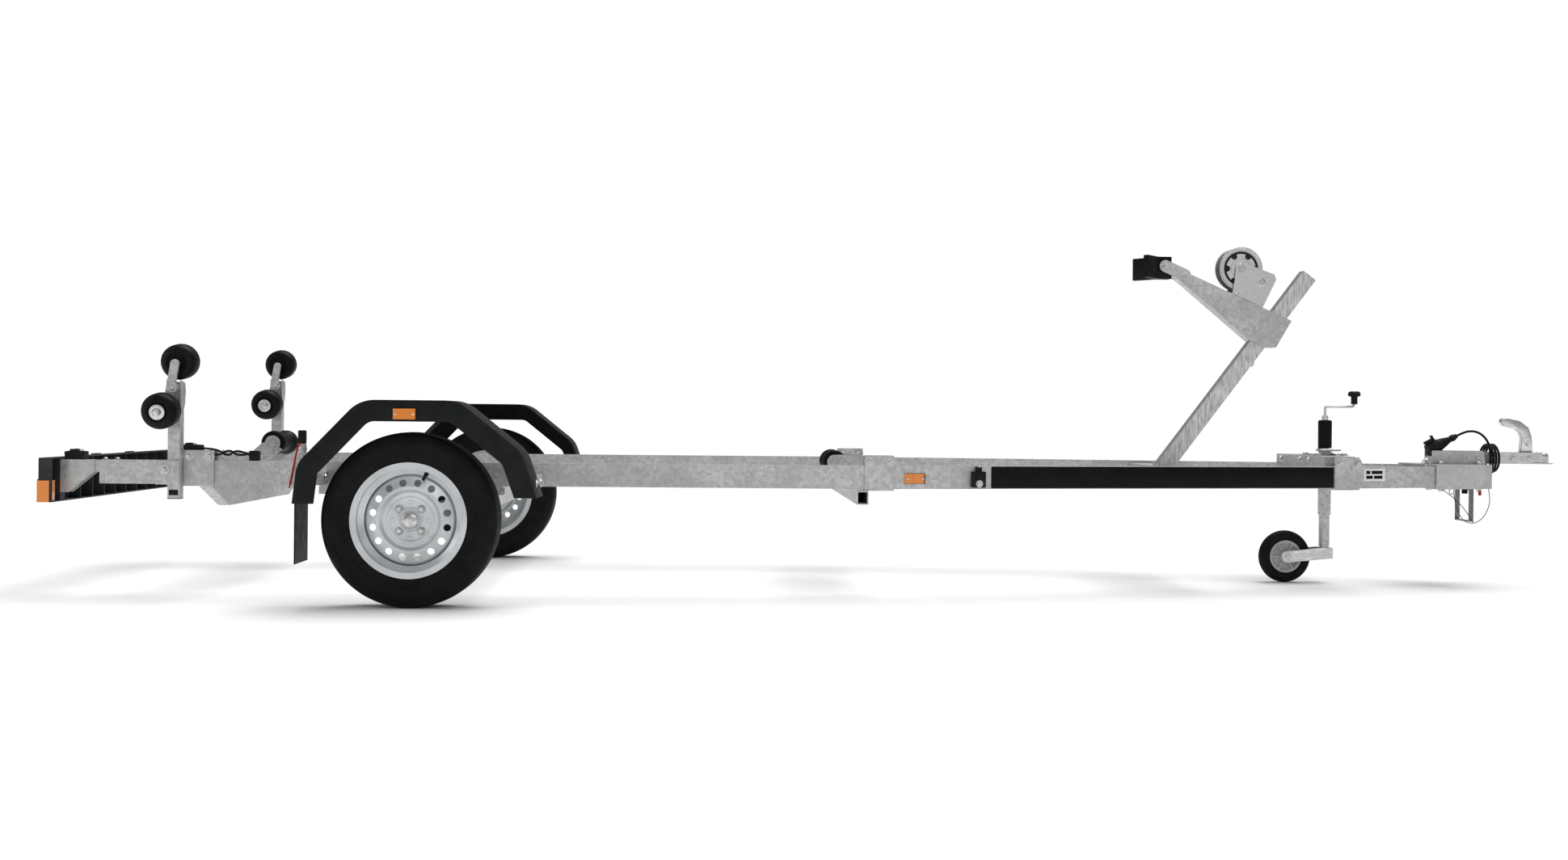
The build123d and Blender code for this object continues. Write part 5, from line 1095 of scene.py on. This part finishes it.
class TRAILER_OT_cords(bpy.types.Operator):
    """Run the plug's cable round the coupling's neck, and the safety wire below the nose"""

    bl_idname = "trailer.cords"
    bl_label = "Cords"

    def execute(self, context):
        cable = cord_curve("plug_cable", CABLE_ROUTE, CABLE_DIAMETER, "cable_black", "cable_run")
        wire = cord_curve("breakaway_wire", WIRE_ROUTE, WIRE_DIAMETER, "wire_steel", "safety_wire")
        crossing = ((2.283, -0.081, 0.369), (2.298, -0.082, 0.354), (2.332, -0.083, 0.331),
                    (2.366, -0.083, 0.295), (2.392, -0.082, 0.26), (2.404, -0.081, 0.239))
        cord_curve("crossing_wire", crossing, WIRE_DIAMETER, "wire_steel")
        bm = bmesh.new()
        add_block(bm, (2.429, -0.083, 0.352), (0.012, 0.005, 0.018), 0.002)
        finish_piece(bm, "red_tag", "wire_red")
        bm = bmesh.new()
        add_block(bm, (2.376, -0.07, 0.358), (0.022, 0.012, 0.018), 0.004)
        finish_piece(bm, "nose_catch", "black_plastic")
        return {"FINISHED"}


JOCKEY_CLAMP_Z = 0.512
JOCKEY_HANDLE_Y = -0.062
SPOKE_ENDS = (0.024, 0.0535)


class TRAILER_OT_jockey(bpy.types.Operator):
    """Dress the jockey wheel: tyre, spokes, axle nuts, sleeve and clamp"""

    bl_idname = "trailer.jockey"
    bl_label = "Jockey Wheel"

    def execute(self, context):
        centre, half = axle_of("jockey_tyre", SIDEWAYS)
        bm = bmesh.new()
        section = [(0.0625, half - 0.006), (0.068, half - 0.001), (0.076, half), (0.077, half + 0.0008),
                   (0.079, half + 0.0008), (0.08, half), (0.086, half - 0.002), (0.0925, half - 0.006),
                   (0.0962, half - 0.0115), (0.0985, half - 0.018)]
        profile = [(radius, -along) for radius, along in section] + mm((99.8, -2), (99.8, 2)) + section[::-1]
        add_turned(bm, profile + profile[:1], centre, SIDEWAYS, 72)
        finish_piece(bm, "solid_jockey_tyre", "tyre_rubber", "jockey_wheel",
                     replaces="jockey_tyre")
        bm = bmesh.new()
        for sign in (-1, 1):
            for index in range(6):
                spin = Matrix.Rotation(pi * index / 3, 3, "Y")
                inner, outer = (centre + spin @ Vector((x, sign * 0.0165, 0)) for x in SPOKE_ENDS)
                add_bar(bm, inner, outer, 0.0045, 10)
        finish_piece(bm, "jockey_spokes", "white_paint", "jockey_wheel")
        bm = bmesh.new()
        for _, out in OUTWARD:
            add_hex(bm, centre + out * 0.036, out, 0.017, 0.009)
        finish_piece(bm, "jockey_axle_nuts", "fastener", "jockey_fork")

        tube_low, tube_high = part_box("jockey_tube")
        axis = Vector(((tube_low.x + tube_high.x) / 2, 0, 0))
        bm = bmesh.new()
        add_turned(bm, mm((24.2, 517.5), (25.6, 518.5), (25.8, 606), (25.6, 622), (22.5, 626.5), (8, 626.8),
                          (8, 622.5), (24.2, 622.2)), axis, UPRIGHT, 48)
        finish_piece(bm, "jockey_sleeve", "black_panel")
        bm = bmesh.new()
        add_turned(bm, mm((24.3, 507.2), (33, 507.2), (33.5, 509), (33, 515), (24.3, 516.5)), axis, UPRIGHT,
                   48)
        add_turned(bm, mm((24.3, 430), (30, 430), (30, 447), (24.3, 447)), axis, UPRIGHT, 48)
        add_bar(bm, axis + Vector((0, -0.024, JOCKEY_CLAMP_Z)), axis + Vector((0, JOCKEY_HANDLE_Y,
                                                                               JOCKEY_CLAMP_Z)), 0.0058, 18)
        add_hex(bm, axis + Vector((0, -0.05, JOCKEY_CLAMP_Z)), -SIDEWAYS, 0.017, 0.01, False)
        add_bar(bm, axis + Vector((-0.038, JOCKEY_HANDLE_Y, JOCKEY_CLAMP_Z)),
                axis + Vector((0.038, JOCKEY_HANDLE_Y, JOCKEY_CLAMP_Z)), 0.0048, 16)
        cross_low, cross_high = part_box("crossbeam_front")
        for dx in (-0.05, 0.05):
            for y in (0.07, -0.07):
                add_hex(bm, (axis.x + dx, y, cross_high.z), UPRIGHT, *M10)
        for y in (-0.106, -0.011, 0.195):
            add_hex(bm, (cross_low.x, y, 0.474), -FORWARD, 0.015, 0.007)
        for middle_x in (1.809, 1.903):
            add_block(bm, (middle_x, 0, cross_high.z + 0.003), (0.044, 0.09, 0.006), 0.001)
        finish_piece(bm, "jockey_clamp", "fastener")
        return {"FINISHED"}


LOOM_DIAMETER = 0.007
RED_LEAD_DIAMETER = 0.006


class TRAILER_OT_wiring(bpy.types.Operator):
    """Set the connector boxes, the toggle, the short wires and the red lead on the right-hand rail"""

    bl_idname = "trailer.wiring"
    bl_label = "Wiring"

    def execute(self, context):
        y = -RAIL_Y
        top = DECK_TOP
        saddle_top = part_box("saddles")[1].z
        bm = bmesh.new()
        add_block(bm, (-2.258, y, saddle_top + 0.009), (0.046, 0.03, 0.018), 0.004)
        add_block(bm, (-2.062, y, top + 0.017), (0.034, 0.026, 0.034), 0.004)
        add_block(bm, (-1.903, y, top + 0.082), (0.026, 0.022, 0.046), 0.004)
        finish_piece(bm, "connector_boxes", "black_plastic")
        bm = bmesh.new()
        add_bar(bm, (-1.903, y, top), (-1.903, y, top + 0.06), 0.004, 16)
        finish_piece(bm, "toggle_stem", "fastener")
        over = ((-2.238, y, saddle_top + 0.006), (-2.19, y + 0.008, top + 0.04),
                (-2.15, y - 0.006, top + 0.012), (-2.118, y - 0.008, top + 0.042),
                (-2.072, y - 0.004, top + 0.016))
        under = ((-2.238, y - 0.004, saddle_top + 0.002), (-2.19, y - 0.008, top + 0.01),
                 (-2.15, y + 0.008, top + 0.04), (-2.118, y + 0.006, top + 0.012),
                 (-2.072, y + 0.004, top + 0.026))
        for index, points in enumerate((over, under)):
            cord_curve(f"loom_{index}", points, LOOM_DIAMETER, "cable_black")
        red = ((-1.906, y - 0.008, top + 0.062), (-1.913, y - 0.024, top + 0.05), (-1.921, y - 0.028, top),
               (-1.93, y - 0.029, top - 0.045), (-1.939, y - 0.024, top - 0.09))
        cord_curve("red_lead", red, RED_LEAD_DIAMETER, "wire_red")
        return {"FINISHED"}


PIECE_OPERATORS = (TRAILER_OT_frame_finish, TRAILER_OT_cords, TRAILER_OT_saddle_bolts,
                   TRAILER_OT_beam_fittings, TRAILER_OT_tyres, TRAILER_OT_wheel_fittings,
                   TRAILER_OT_side_rollers, TRAILER_OT_rocker_pins, TRAILER_OT_keel_rollers,
                   TRAILER_OT_light_board, TRAILER_OT_mudguard_fittings, TRAILER_OT_winch,
                   TRAILER_OT_coupling, TRAILER_OT_jockey, TRAILER_OT_wiring)


class TRAILER_OT_stage(bpy.types.Operator):
    """Add the pale floor, the soft studio lights and the camera"""

    bl_idname = "trailer.stage"
    bl_label = "Studio"

    def execute(self, context):
        look = context.scene.trailer_look
        scene = context.scene
        bm = bmesh.new()
        bmesh.ops.create_grid(bm, x_segments=1, y_segments=1, size=60.0)
        mesh = bpy.data.meshes.new("studio_floor")
        bm.to_mesh(mesh)
        bm.free()
        floor = link_object("studio_floor", mesh)
        material, _, shader = new_finish("studio_floor", 0.0, 0.9)
        shader.inputs["Base Color"].default_value = (*look.floor_colour, 1.0)
        mesh.materials.append(material)

        world = bpy.data.worlds.new("studio")
        world.use_nodes = True
        tree = world.node_tree
        backdrop = tree.nodes["Background"]
        backdrop.inputs["Color"].default_value = (1.0, 1.0, 1.0, 1.0)
        backdrop.inputs["Strength"].default_value = 1.02
        fill = new_node(tree, "Background", Color=(0.97, 0.985, 1.0, 1.0), Strength=look.soft_light)
        choose = new_node(tree, "MixShader")
        tree.links.new(new_node(tree, "LightPath").outputs["Is Camera Ray"], choose.inputs["Fac"])
        tree.links.new(fill.outputs["Background"], choose.inputs[1])
        tree.links.new(backdrop.outputs["Background"], choose.inputs[2])
        tree.links.new(choose.outputs["Shader"], tree.nodes["World Output"].inputs["Surface"])
        scene.world = world

        high = bpy.data.lights.new("high_light", "SUN")
        high.energy = look.sun_light
        high.angle = radians(48)
        lamp = link_object("high_light", high)
        lamp.rotation_euler = Vector((-0.3, -0.28, -1.0)).to_track_quat("-Z", "Y").to_euler()

        # name, place, aim, width, height, power
        lamps = (("front_softbox", (1.2, -7.0, 3.4), (0.0, 0.0, 0.5), 5.0, 1.2, 60.0),
                 ("rear_softbox", (-6.5, -2.5, 2.6), (-1.5, 0.0, 0.5), 1.2, 3.0, 40.0))
        for name, place, aim, width, height, power in lamps:
            light = bpy.data.lights.new(name, "AREA")
            light.shape = "RECTANGLE"
            light.size, light.size_y, light.energy = width, height, power
            lamp = link_object(name, light)
            lamp.location = place
            lamp.rotation_euler = (Vector(aim) - Vector(place)).to_track_quat("-Z", "Y").to_euler()

        camera = bpy.data.cameras.new("view")
        camera.sensor_width = 36.0
        camera.lens = 36.0 * CAMERA_FOCAL / PICTURE_WIDTH
        camera.shift_y = (CAMERA_HORIZON - PICTURE_HEIGHT / 2) / PICTURE_WIDTH
        camera.clip_end = 200.0
        eye = link_object("view", camera)
        turn = Matrix.Rotation(-CAMERA_YAW, 4, "Z") @ Matrix.Rotation(pi / 2, 4,
                                                                      "X") @ Matrix.Rotation(CAMERA_ROLL, 4,
                                                                                             "Z")
        eye.matrix_world = Matrix.Translation(CAMERA_PLACE) @ turn
        scene.camera = eye
        scene.view_settings.view_transform = "Standard"
        return {"FINISHED"}


OPERATORS = (*PIECE_OPERATORS, TRAILER_OT_stage)


class TRAILER_PT_sidebar(bpy.types.Panel):
    """List the trailer's pieces and the settings that shape them"""

    bl_idname = "TRAILER_PT_sidebar"
    bl_label = "Boat Trailer"
    bl_space_type = "VIEW_3D"
    bl_region_type = "UI"
    bl_category = "Trailer"

    def draw(self, context):
        column = self.layout.column(align=True)
        for name in TrailerLook.__annotations__:
            column.prop(context.scene.trailer_look, name)
        column.separator()
        for operator in OPERATORS:
            column.operator(operator.bl_idname)


CLASSES = (TrailerLook, *OPERATORS, TRAILER_PT_sidebar)


def register():
    for cls in CLASSES:
        bpy.utils.register_class(cls)
    bpy.types.Scene.trailer_look = PointerProperty(type=TrailerLook)


def unregister():
    del bpy.types.Scene.trailer_look
    for cls in reversed(CLASSES):
        bpy.utils.unregister_class(cls)


def build_trailer():
    """Register the add-on and make every piece in order."""
    register()
    for operator in OPERATORS:
        area, action = operator.bl_idname.split(".")
        getattr(getattr(bpy.ops, area), action)()


if __name__ == "__main__":
    build_trailer()
